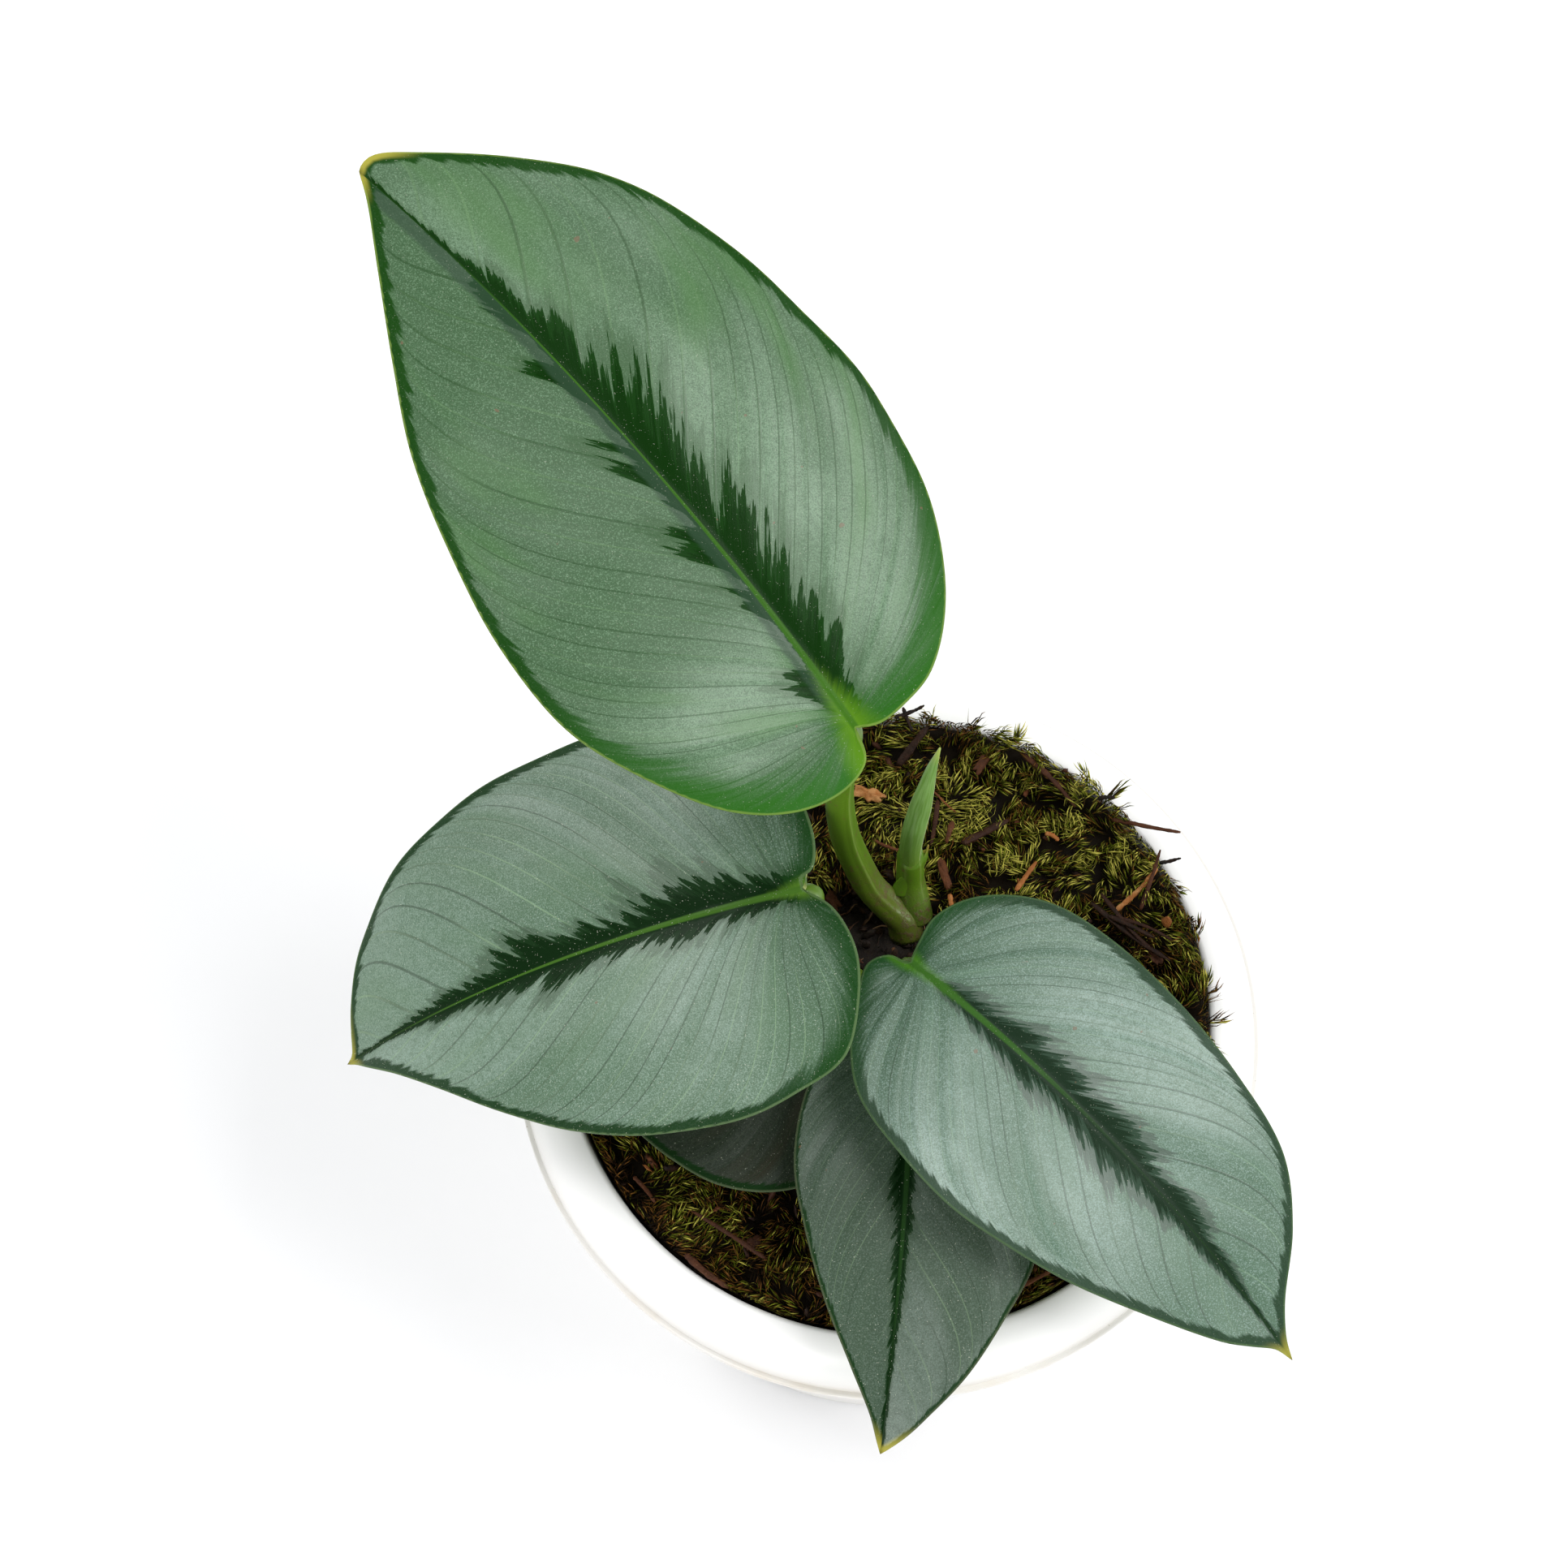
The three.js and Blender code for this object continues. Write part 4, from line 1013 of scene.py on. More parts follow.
def blade_mesh(leaf, wave, seed):
    rows = VEINS * ROWS_PER_VEIN
    grid = vein_rows(leaf, rows)
    x, y, gap, phase = grid["x"], grid["y"], grid["gap"], grid["phase"]
    side = np.concatenate([-np.ones(ROW_STEPS), np.ones(ROW_STEPS + 1)]) * np.ones_like(x)
    length = leaf["length"]
    away = np.abs(y)
    inside = np.clip(gap / 4, 0, 1) * np.clip(away / 2.5, 0, 1)
    taper = np.clip(1 - x / length, 0, 1)
    beat = np.abs((phase + 0.5) % 1 - 0.5)
    strong = 0.55 + 0.45 * np.sin(2.4 * np.floor(phase + 0.5) + seed)
    veins = inside * (0.012 * np.cos(2 * np.pi * (phase + 0.5)) - 0.045 * strong
                      * np.exp(-(beat / 0.1) ** 2))
    swell = 0.14 * inside * np.sin(2 * np.pi * phase / 5.3 + seed + side)
    swell += 0.07 * inside * np.sin(2 * np.pi * phase / 2.9 + 2 * seed + 0.02 * grid["run"])
    groove = -0.55 * np.exp(-(y / 1.6) ** 2) * (0.2 + 0.8 * taper)
    ridge = 0.42 * np.exp(-(y / 0.5) ** 2) * (0.1 + 0.9 * taper)
    broad = np.clip(away / 20, 0, 1) ** 2
    ruffle = wave * broad * np.sin(0.11 * x + 1.3 * side + seed)
    ruffle += 0.3 * wave * broad * np.sin(0.31 * x - 1.1 * side + 2 * seed)
    rib = 1.1 * np.exp(-(y / (0.5 + 0.9 * taper)) ** 2) * (0.15 + 0.85 * taper)
    place, normal = on_blade(leaf, x, y)
    ends = np.clip(np.minimum(np.arange(1, rows), rows - np.arange(1, rows)) / 6, 0.15, 1)
    half = 0.5 * EDGE_THICKNESS * np.ones_like(x) * ends[:, None]
    bulk = ruffle + swell
    top = place + normal * (half + veins + groove + ridge + bulk)[..., None]
    bottom = place + normal * (0.6 * veins + groove - half - rib + bulk)[..., None]
    edge = place + normal * ruffle[..., None]
    outward = edge[:, [0, -1]] - edge[:, [1, -2]]
    outward /= np.maximum(np.linalg.norm(outward, axis=-1, keepdims=True), 1e-6)
    top[:, [0, -1]] = edge[:, [0, -1]] + 0.12 * outward
    start, end = on_blade(leaf, np.array([0, length]), np.zeros(2))[0]
    columns = x.shape[1]
    per_row = 2 * columns - 2
    body = np.concatenate([top, bottom[:, -2:0:-1]], 1)
    points = np.vstack([start, body.reshape(-1, 3), end]) * MM
    notes = {}
    for key, numbers in (("flat_x", x), ("flat_y", y), ("to_margin", gap),
                         ("vein_run", grid["run"]), ("vein_start", grid["start"]),
                         ("vein_phase", phase), ("leaf_side", side)):
        around = np.concatenate([numbers, numbers[:, -2:0:-1]], 1)
        notes[key] = np.concatenate([[0], around.ravel(), [length if key == "flat_x" else 0]])
    faces = inside_out(tube_faces(rows - 1, per_row))
    under = (np.arange(per_row) >= columns - 1).astype(int)
    slots = np.concatenate([np.tile(under, rows - 2), np.repeat(under, 2)])
    return points, faces, slots, notes


def vein_field(tree, seed):
    side = attribute(tree, "leaf_side")
    places = []
    for name in ("vein_phase", "vein_start"):
        joined = tree.nodes.new("ShaderNodeCombineXYZ")
        feed(attribute(tree, name), joined.inputs[0])
        feed(attribute(tree, "vein_run"), joined.inputs[1])
        feed(scaled(side, 20, seed), joined.inputs[2])
        places.append(joined.outputs[0])
    return places


def by_veins(place, across, along, layer, detail, roughness=0.5):
    return noise(stretched(place, (across, along, 1), (0, 0, layer)), 1, detail, roughness)


def vein_gap(tree):
    turned = value("FRACT", plus(attribute(tree, "vein_phase"), 0.5))
    return value("ABSOLUTE", value("SUBTRACT", turned, 0.5))


def silver_face(name, look):
    silver = look["silver"]
    dark = look["dark"]
    finish, tree, shader = start_finish(name, silver, 0.42, 0.5)
    flat_x = attribute(tree, "flat_x")
    flat_y = attribute(tree, "flat_y")
    to_margin = attribute(tree, "to_margin")
    away = value("ABSOLUTE", flat_y)
    by_phase, by_start = vein_field(tree, look["seed"])
    solid = solid_place(tree)
    streaks = by_veins(by_phase, 2.1, 0.045, 0, 3, 0.6)
    hairs = by_veins(by_phase, 7.3, 0.11, 7, 2, 0.6)
    clouds = by_veins(by_phase, 0.45, 0.035, 3, 3, 0.6)
    grain = noise(solid, 3900, 2, 0.8)
    mottle = noise(solid, 750, 4, 0.72)
    # silver ground, with slow clouds along the veins; painted shade on the parts that the light
    # misses (drifting patches, the base, one half, near the margin and towards the tip) and a painted
    # highlight where they catch it
    calm = scaled(smooth_step(flat_x, -8, 20), 0.7, 0.3)
    clouds = scaled(value("SUBTRACT", clouds, 0.5), calm, 0.5)
    drifts = by_veins(by_phase, 0.12, 0.035, 13, 2)
    tone = mixed(smooth_step(clouds, 0.36, 0.64), shade(silver, 0.86, 0.9, 0.82),
                 shade(silver, 1.12, 1.1, 1.16))
    shaded = times(smooth_step(drifts, 0.58, 0.36), 0.6)
    shaded = value("MAXIMUM", shaded, smooth_step(flat_x, look["dim_to"], 0))
    to_left = smooth_step(attribute(tree, "leaf_side"), 0.5, -0.5)
    half, share = look["dim_half"]
    dim_half = smooth_step(attribute(tree, "leaf_side"), -0.5 * half, 0.5 * half)
    shaded = value("MAXIMUM", shaded, times(share, times(dim_half, smooth_step(flat_x, 14, 30))))
    shaded = value("MAXIMUM", shaded, times(look["dim_edge"], smooth_step(to_margin, 9, 3)))
    shaded = value("MAXIMUM", shaded,
                   times(look["dim_tip"],
                         smooth_step(flat_x, 0.5 * look["tip"], 0.8 * look["tip"])))
    lit = smooth_step(flat_x, *look["lit"])
    lit = times(lit, value("SUBTRACT", 1, shaded))
    tone = mixed(lit, tone, shade(silver, 1.5, 1.4, 1.5), 0.55)
    tone = mixed(shaded, tone, shade(silver, 0.4, 0.52, 0.36), 0.95)
    # fine marks in the silver: streaks, hair lines, mottling, and the grain of its cells
    streaked = times(smooth_step(streaks, 0.5, 0.7), calm)
    tone = mixed(streaked, tone, shade(silver, 0.66, 0.76, 0.62), 0.28)
    haired = times(smooth_step(hairs, 0.52, 0.75), calm)
    tone = mixed(haired, tone, shade(silver, 1.3, 1.25, 1.3), 0.4)
    tone = mixed(smooth_step(mottle, 0.56, 0.4), tone, shade(silver, 0.5, 0.64, 0.5), 0.5)
    tone = mixed(smooth_step(grain, 0.5, 0.36), tone, shade(silver, 0.4, 0.54, 0.4), 0.8)
    tone = mixed(smooth_step(grain, 0.5, 0.66), tone, shade(silver, 1.85, 1.65, 1.9), 0.65)
    patchy = by_veins(by_phase, 0.3, 0.03, 11, 2)
    greener = smooth_step(patchy, 0.5, 0.72)
    tone = mixed(greener, tone, look["flush"], look["green"])
    # side veins: a thin crease on each, darkened with painted shade, and here and there a pale line
    gap = vein_gap(tree)
    presence = by_veins(by_phase, 1, 0.02, 9, 1)
    line = times(smooth_step(gap, 0.06, 0.02),
                 smooth_step(presence, look["creases"], look["creases"] + 0.15))
    line = times(line, smooth_step(away, 0.5, 3))
    tone = mixed(line, tone, shade(dark, 1.8), 0.6)
    pale = times(smooth_step(gap, 0.05, 0.015), smooth_step(presence, 0.56, 0.42))
    tone = mixed(pale, tone, shade(silver, 1.9, 1.85, 1.5), look["pale_veins"])
    # dark tongue along the midrib, its edge torn into teeth that follow the veins
    tongue = look["tongue"]
    rise = smooth_step(flat_x, tongue["from"], tongue["full"])
    fall = smooth_step(flat_x, tongue["to"], tongue["wane"])
    islands = by_veins(by_start, 0.1, 0.02, 5, 2)
    uneven = scaled(smooth_step(islands, 0.34, 0.66), 0.6, 0.7)
    # painted reflection: on one half of the crown the tongue breaks up to make room for a painted
    # sheen beside the midrib
    broken = times(smooth_step(islands, 0.56, 0.46), times(to_left, look["painted_sheen_strip"]))
    uneven = times(uneven, scaled(broken, -1, 1))
    handed = scaled(attribute(tree, "leaf_side"), tongue["lean"], 1)
    reach = scaled(times(rise, fall), tongue["width"], 0.4)
    reach = times(times(reach, uneven), handed)
    spikes = by_veins(by_start, 0.5, 0.05, 0, 3, 0.6)
    needles = by_veins(by_start, 1.7, 0.12, 2, 2, 0.6)
    ragged = plus(scaled(spikes, 2.6, -1.3), scaled(needles, 1.3, -0.65))
    spread = plus(value("DIVIDE", away, reach), ragged)
    by_midrib = smooth_step(spread, 1.1, 1.0)
    # painted shade: the silver darkens round the tongue, where the blade sinks towards the midrib
    halo = smooth_step(spread, 2.4, 0.9)
    tone = mixed(halo, tone, shade(silver, 0.55, 0.7, 0.5), 0.5)
    beyond = scaled(streaks, 2.6, -1.3)
    fringe = smooth_step(plus(spread, beyond), 1.7, 1.5)
    tone = mixed(fringe, tone, shade(dark, 2.8, 2, 2.8), look["fringe"])
    core = smooth_step(spread, 0.75, 0.6)
    tone = mixed(by_midrib, tone, mixed(core, look["outer_dark"], dark))
    # painted reflection: a greyer strip beside the midrib on that half stands for the sheen of the
    # lamps on the dark tongue
    painted_sheen_strip = times(smooth_step(plus(away, needles), 3.4, 2.4), times(to_left, look["painted_sheen_strip"]))
    tone = mixed(painted_sheen_strip, tone, shade(silver, 0.3, 0.36, 0.36))
    # green band inside the margin, widest beside the stalk
    band = scaled(clouds, look["band"], 0.35 * look["band"])
    base_band = smooth_step(flat_x, look["green_to"], -5)
    band = scaled(base_band, look["base_band"], band)
    edge_spread = plus(value("DIVIDE", to_margin, band), scaled(streaks, 2, -1))
    by_margin = smooth_step(edge_spread, 1.3, 0.85)
    blurred = value("SUBTRACT", smooth_step(edge_spread, 1.9, 0.1), by_margin)
    by_margin = scaled(blurred, base_band, by_margin)
    deep = mixed(base_band, shade(dark, 2.2, 1.8, 2), look["base_green"])
    tone = mixed(by_margin, tone, deep, 0.9)
    # fresh green round the junction with the stalk, and the midrib fading towards the tip
    near_base = plus(times(flat_x, 1 / look["glow_long"]), times(away, 1 / look["glow_wide"]))
    near_base = plus(near_base, scaled(needles, 0.6, -0.3))
    glow = smooth_step(near_base, 1.0, 0.1)
    tone = mixed(glow, tone, look["glow"], 0.9)
    rib_width = scaled(smooth_step(flat_x, 60, 0), 0.45, 0.2)
    rib_fade = smooth_step(flat_x, look["rib_to"], look["rib_to"] - 30)
    rib = smooth_step(value("DIVIDE", away, rib_width), 1.2, 0.5)
    rib = times(rib, scaled(rib_fade, 0.75, 0.1))
    tone = mixed(rib, tone, look["rib"])
    # pale hem, partly the margin's own paler colour and partly painted light glowing through the thin
    # edge; yellow point, dust and a few brown blemishes
    hem = smooth_step(to_margin, 0.42, 0.18)
    tone = mixed(hem, tone, look["hem"], 0.6)
    at_tip = times(smooth_step(flat_x, look["tip"] - 6, look["tip"]),
                   smooth_step(to_margin, 1.3, 0.5))
    tone = mixed(at_tip, tone, TIP_YELLOW, 0.9)
    dots = spots(solid, 4700, 0.78, 0.82, 0)
    tone = mixed(dots, tone, DUST, look["dust"])
    blemish = spots(solid, 500, 0.79, 0.81)
    tone = mixed(blemish, tone, BLEMISH_BROWN, 0.7)
    # the silver shines softly; green parts, and parts under the painted shade, shine less
    green_share = value("MAXIMUM", by_midrib, by_margin)
    sheen = scaled(green_share, 0.08 - look["sheen"], look["sheen"])
    sheen = times(sheen, scaled(shaded, -0.62, 1))
    feed(sheen, shader.inputs["Specular IOR Level"])
    smoother = scaled(green_share, -0.12, look["gloss"])
    feed(scaled(grain, 0.16, smoother), shader.inputs["Roughness"])
    height = plus(times(grain, 0.5), times(hairs, 0.6))
    height = value("SUBTRACT", height, times(line, 0.5))
    coat(shader, tone, height, 0.08 * MM, 0.6)
    return finish


def blade_back(name):
    finish, tree, shader = start_finish(name, (0.1, 0.18, 0.07), 0.5, 0.4)
    away = value("ABSOLUTE", attribute(tree, "flat_y"))
    to_margin = attribute(tree, "to_margin")
    by_phase, _ = vein_field(tree, 60)
    patches = by_veins(by_phase, 0.6, 0.06, 0, 3, 0.6)
    solid = solid_place(tree)
    grain = noise(solid, 2600, 2, 0.6)
    tone = mixed(smooth_step(patches, 0.35, 0.65), BACK_PALE, BACK_DEEP)
    tone = mixed(grain, tone, BACK_GRAIN, 0.4)
    gap = vein_gap(tree)
    line = smooth_step(gap, 0.12, 0.02)
    tone = mixed(line, tone, BACK_VEIN, 0.45)
    rib = smooth_step(away, 1.8, 0.9)
    tone = mixed(rib, tone, BACK_RIB, 0.8)
    hem = smooth_step(to_margin, 0.5, 0.22)
    tone = mixed(hem, tone, BACK_HEM, 0.8)
    coat(shader, tone, grain, 0.05 * MM, 0.5)
    return finish


DARK = (0.003, 0.016, 0.003)
# In each look, dim_to, dim_half, dim_edge and dim_tip say where the blade gets painted shade, and lit
# where it gets a painted highlight.
PLAIN_LOOK = {
    "dark": DARK, "painted_sheen_strip": 0.0, "creases": 0.5, "outer_dark": (0.01, 0.03, 0.01),
    "dim_edge": 0.0, "dim_tip": 0.0, "base_green": (0.02, 0.07, 0.015),
    "glow": (0.06, 0.14, 0.02), "glow_wide": 3,
}
BLADES = {
    "crown": {
        "silver": (0.081, 0.157, 0.081), "dark": (0.003, 0.024, 0.0015), "green": 0.5,
        "flush": (0.05, 0.155, 0.03), "sheen": 0.75, "painted_sheen_strip": 0.8, "creases": 0.36,
        "outer_dark": (0.006, 0.035, 0.004), "fringe": 0.35, "dim_to": 8,
        "dim_half": (-1, 0.92), "dim_edge": 0.55, "lit": (90, 35),
        "tongue": {"width": 4.2, "from": -6, "full": 12, "wane": 64, "to": 104, "lean": 0.2},
        "band": 1.8, "base_band": 3.4, "green_to": 42, "base_green": (0.02, 0.11, 0.008),
        "glow": (0.085, 0.21, 0.01), "glow_long": 18, "glow_wide": 5,
        "rib": (0.035, 0.12, 0.008), "rib_to": 100, "tip": 116, "pale_veins": 0.2,
        "hem": (0.2, 0.3, 0.06), "dust": 0.3, "gloss": 0.37, "wave": 0.8, "seed": 1.0,
    },
    "left": {
        "silver": (0.122, 0.195, 0.137), "green": 0.3, "flush": (0.085, 0.17, 0.08),
        "sheen": 0.9, "creases": 0.36, "outer_dark": (0.007, 0.026, 0.007), "fringe": 0.45,
        "dim_to": 16, "dim_half": (1, 0.3), "lit": (52, 80),
        "tongue": {"width": 3.1, "from": -6, "full": 8, "wane": 46, "to": 88, "lean": 0.15},
        "band": 1.7, "base_band": 1.8, "green_to": 14, "base_green": (0.008, 0.045, 0.006),
        "glow": (0.09, 0.2, 0.02), "glow_long": 10, "glow_wide": 2.6, "rib": (0.05, 0.13, 0.015),
        "rib_to": 88, "tip": 96, "pale_veins": 0.45, "hem": (0.12, 0.19, 0.08), "dust": 0.6,
        "gloss": 0.38, "wave": 0.6, "seed": 12.0,
    },
    "right": {
        "silver": (0.121, 0.196, 0.15), "dark": (0.01, 0.025, 0.012), "green": 0.25,
        "flush": (0.1, 0.19, 0.12), "sheen": 1.0, "creases": 0.4,
        "outer_dark": (0.028, 0.055, 0.034), "fringe": 0.7, "dim_to": 26,
        "dim_half": (1, 0.0), "dim_tip": 0.75, "lit": (66, 40),
        "tongue": {"width": 2.7, "from": 2, "full": 22, "wane": 44, "to": 80, "lean": -0.1},
        "band": 1.6, "base_band": 1.2, "green_to": 12, "base_green": (0.009, 0.055, 0.008),
        "glow": (0.06, 0.19, 0.01), "glow_long": 19, "glow_wide": 2.4,
        "rib": (0.035, 0.11, 0.015), "rib_to": 45, "tip": 88, "pale_veins": 0.3,
        "hem": (0.08, 0.14, 0.055), "dust": 0.3, "gloss": 0.37, "wave": 0.5, "seed": 23.0,
    },
    "front": {
        "silver": (0.058, 0.095, 0.064), "green": 0.1, "flush": (0.06, 0.11, 0.06),
        "sheen": 0.75, "fringe": 0.4, "dim_to": 20, "dim_half": (1, 0.8), "lit": (40, 65),
        "tongue": {"width": 1.3, "from": -6, "full": 8, "wane": 20, "to": 60, "lean": 0.1},
        "band": 0.8, "base_band": 0.6, "green_to": 10, "glow_long": 12,
        "rib": (0.015, 0.05, 0.01), "rib_to": 60, "tip": 69, "pale_veins": 0.7,
        "hem": (0.09, 0.11, 0.06), "dust": 0.55, "gloss": 0.4, "wave": 0.5, "seed": 34.0,
    },
    "low": {
        "silver": (0.024, 0.034, 0.022), "green": 0.6, "flush": (0.04, 0.034, 0.022),
        "sheen": 0.5, "fringe": 0.3, "dim_to": 15, "dim_half": (-1, 0.3), "lit": (30, 44),
        "tongue": {"width": 1.5, "from": -6, "full": 4, "wane": 25, "to": 40, "lean": 0.0},
        "band": 1.4, "base_band": 0.5, "green_to": 8, "glow_long": 9,
        "rib": (0.03, 0.075, 0.02), "rib_to": 40, "tip": 44, "pale_veins": 0.4,
        "hem": (0.09, 0.12, 0.06), "dust": 0.4, "gloss": 0.42, "wave": 0.3, "seed": 45.0,
    },
}
back_finish = blade_back("blade_underside")
for name, leaf in LEAVES.items():
    look = {**PLAIN_LOOK, **BLADES[name]}
    points, faces, slots, notes = blade_mesh(leaf, look["wave"], look["seed"])
    blade = link_mesh("leaf_" + name, points, faces)
    for key, numbers in notes.items():
        note(blade, key, numbers)
    blade.data.materials.append(silver_face("silver_blade_" + name, look))
    blade.data.materials.append(back_finish)
    blade.data.polygons.foreach_set("material_index", slots)
    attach(blade, "root")
    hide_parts("blade_" + name)

# Moss: six cushions laid around the stem on the potting mix. Each is a mat of leaning shoots
# feathered with fine curved leaves, green at the right and back, browner at the left and front.
MOSS_RADIUS = 51.9
MOSS_BOTTOM = 90.3
MOSS_SEAMS = [10, 68, 122, 188, 246, 308, 370]
HALF_SEAM = 0.6
SHOOT_SPACING = 1.62
SHOOT_TRIES = 14000
RIM_SHOOTS = 270
MOUTH_INSIDE = 52.4
MOUTH_TOP = 100.1
LEAVES_PER_SHOOT = 22
LEAFLET_LENGTH = 3.1
LEAFLET_WIDTH = 0.3
LEAFLET_SPLAY = (62, 26)
GOLDEN_TURN = 2.399
BRIM_RISE = 5
BRIM_TURN = math.radians(45)
BASE_STEPS = 44
BASE_RINGS = 18
DEAD_STRAND = ((33.8, 19.4), (46.4, 8.9))
DEAD_WIDTH = 2.6
moss_rng = np.random.default_rng(21)


def behind(x, y):
    return np.clip(0.45 + np.cos(np.arctan2(y, x) - BRIM_TURN), 0, 1)


def moss_height(x, y):
    dome = 2.4 * (1 - (x * x + y * y) / 53 ** 2)
    bumps = np.sin(x * 0.33 + 1) * np.cos(y * 0.29) + np.sin(0.21 * (x - y) + 2)
    brim = np.clip((np.hypot(x, y) - 43) / 9, 0, 1)
    return 94 + dome + 0.6 * bumps + BRIM_RISE * behind(x, y) * brim ** 2


def ground_noise(x, y, size, seed):
    return lumpy(np.column_stack([x.ravel(), y.ravel(), 0 * x.ravel()]), size, seed)


def hollow_edge(angle):
    inner = 1 + 0.1 * np.sin(3 * angle + 1)
    return (HOLLOW[0] + HOLLOW_RADII[0] * inner * np.cos(angle),
            HOLLOW[1] + HOLLOW_RADII[1] * inner * np.sin(angle))


def moss_ring(angle, share):
    x, y = hollow_edge(angle)
    return (x + share * (MOSS_RADIUS * np.cos(angle) - x),
            y + share * (MOSS_RADIUS * np.sin(angle) - y))


def cushion_base(seam, following):
    angle = np.radians(np.linspace(seam + HALF_SEAM, following - HALF_SEAM, BASE_STEPS + 1))
    share = np.linspace(0, 1, BASE_RINGS + 1)
    x, y = moss_ring(angle[:, None], share[None])
    top = moss_height(x, y) - 2.1 - 1.0 * (np.abs(2 * share - 1) ** 6)[None]
    top += 0.9 * ground_noise(x, y, 1.5, 3.0).reshape(x.shape)
    upper = np.stack([x, y, top], -1).reshape(-1, 3)
    lower = np.stack([x, y, np.full_like(x, MOSS_BOTTOM)], -1).reshape(-1, 3)
    width = BASE_RINGS + 1
    under = len(upper)
    faces = []
    for i in range(BASE_STEPS):
        for k in range(BASE_RINGS):
            a = i * width + k
            faces.append((a, a + 1, a + width + 1, a + width))
            faces.append((under + a, under + a + width, under + a + width + 1, under + a + 1))
        for k, flip in ((0, 1), (BASE_RINGS, -1)):
            a = i * width + k
            faces.append((a, a + width, under + a + width, under + a)[::flip])
    for k in range(BASE_RINGS):
        for i, flip in ((0, -1), (BASE_STEPS, 1)):
            a = i * width + k
            faces.append((a, a + 1, under + a + 1, under + a)[::flip])
    return np.vstack([upper, lower]), faces


def shoot_feet():
    angles = moss_rng.uniform(0, 2 * np.pi, SHOOT_TRIES)
    radii = (MOSS_RADIUS + 0.7) * np.sqrt(moss_rng.uniform(0, 1, SHOOT_TRIES))
    around = np.linspace(0, 2 * np.pi, RIM_SHOOTS, endpoint=False)
    at_rim = MOSS_RADIUS + moss_rng.uniform(-1.2, 0.6, RIM_SHOOTS)
    kept = np.column_stack([at_rim * np.cos(around), at_rim * np.sin(around)])
    for angle, radius in zip(angles, radii):
        spot = np.array([radius * math.cos(angle), radius * math.sin(angle)])
        from_hollow = spot - HOLLOW
        turn = math.atan2(from_hollow[1] / HOLLOW_RADII[1], from_hollow[0] / HOLLOW_RADII[0])
        edge = np.array(hollow_edge(turn)) - HOLLOW
        if np.hypot(*from_hollow) < np.hypot(*edge) + 0.2:
            continue
        if np.min(np.hypot(*(kept - spot).T)) < SHOOT_SPACING:
            continue
        kept = np.vstack([kept, spot])
    return kept


def vigour(x, y):
    turn = np.degrees(np.arctan2(y, x))
    green = 0.5 + 0.2 * np.cos(np.radians(turn - 40))
    patches = ground_noise(x, y, 8, 9.0)
    edge = np.clip((np.hypot(x, y) - 46) / 6, 0, 1)
    inner = np.clip(1.35 - np.hypot((x - HOLLOW[0]) / HOLLOW_RADII[0],
                                    (y - HOLLOW[1]) / HOLLOW_RADII[1]), 0, 0.3)
    return green + 0.8 * patches - 0.14 * edge - 0.9 * inner


def feathered(feet, axes, lengths, sweeps, tones):
    shoots = len(feet)
    count = LEAVES_PER_SHOOT
    share = np.tile(np.linspace(0.12, 1, count), (shoots, 1)) + moss_rng.uniform(
        -0.02, 0.02, (shoots, count))
    turn = np.tile(np.arange(count) * GOLDEN_TURN, (shoots, 1)) + moss_rng.uniform(
        0, 0.9, (shoots, count))
    low, high = LEAFLET_SPLAY
    splayed = np.radians(low + (high - low) * share) + moss_rng.normal(
        0, 0.14, (shoots, count))
    beside = unit(np.cross(axes, sweeps + 0.01))
    over = np.cross(axes, beside)
    stem = feet[:, None] + axes[:, None] * (lengths[:, None] * share)[..., None]
    stem += sweeps[:, None] * (0.28 * lengths[:, None] * share ** 2)[..., None]
    out = (axes[:, None] * np.cos(splayed)[..., None]
           + (beside[:, None] * np.cos(turn)[..., None] + over[:, None] * np.sin(turn)[..., None])
           * np.sin(splayed)[..., None])
    end = unit(0.15 * out + 1.0 * sweeps[:, None] + 0.3 * axes[:, None])
    size = LEAFLET_LENGTH * moss_rng.uniform(0.75, 1.25, (shoots, count)) * (1.08 - 0.3 * share)
    width = LEAFLET_WIDTH * moss_rng.uniform(0.75, 1.2, (shoots, count))
    tone = tones[:, None] + moss_rng.normal(0, 0.26, (shoots, count)) + 0.2 * (share - 0.6)
    base, out, end = (part.reshape(-1, 3) for part in (stem, out, end))
    size, width = size.reshape(-1, 1), width.reshape(-1, 1)
    middle = base + 0.55 * size * out
    tip = middle + 0.6 * size * end
    across = unit(np.cross(out, end) + 1e-4)
    points = [base]
    for t, broad in ((0.3, 1), (0.66, 0.72)):
        spot = (1 - t) ** 2 * base + 2 * t * (1 - t) * middle + t * t * tip
        along = unit((1 - t) * (middle - base) + t * (tip - middle))
        keel = np.cross(along, across)
        half = 0.5 * width * broad
        points += [spot - across * half, spot + across * half, spot + keel * half * 0.7]
    points.append(tip)
    points = np.stack(points, 1)
    single = [(0, 1 + (k + 1) % 3, 1 + k) for k in range(3)]
    single += [(1 + k, 1 + (k + 1) % 3, 4 + (k + 1) % 3, 4 + k) for k in range(3)]
    single += [(4 + k, 4 + (k + 1) % 3, 7) for k in range(3)]
    leaves = len(points)
    faces = []
    for corners in single:
        faces += (8 * np.arange(leaves)[:, None] + np.array(corners)[None]).tolist()
    reach = np.tile([0, 0.3, 0.3, 0.3, 0.66, 0.66, 0.66, 1], leaves)
    return points.reshape(-1, 3), faces, np.repeat(tone.ravel(), 8), reach


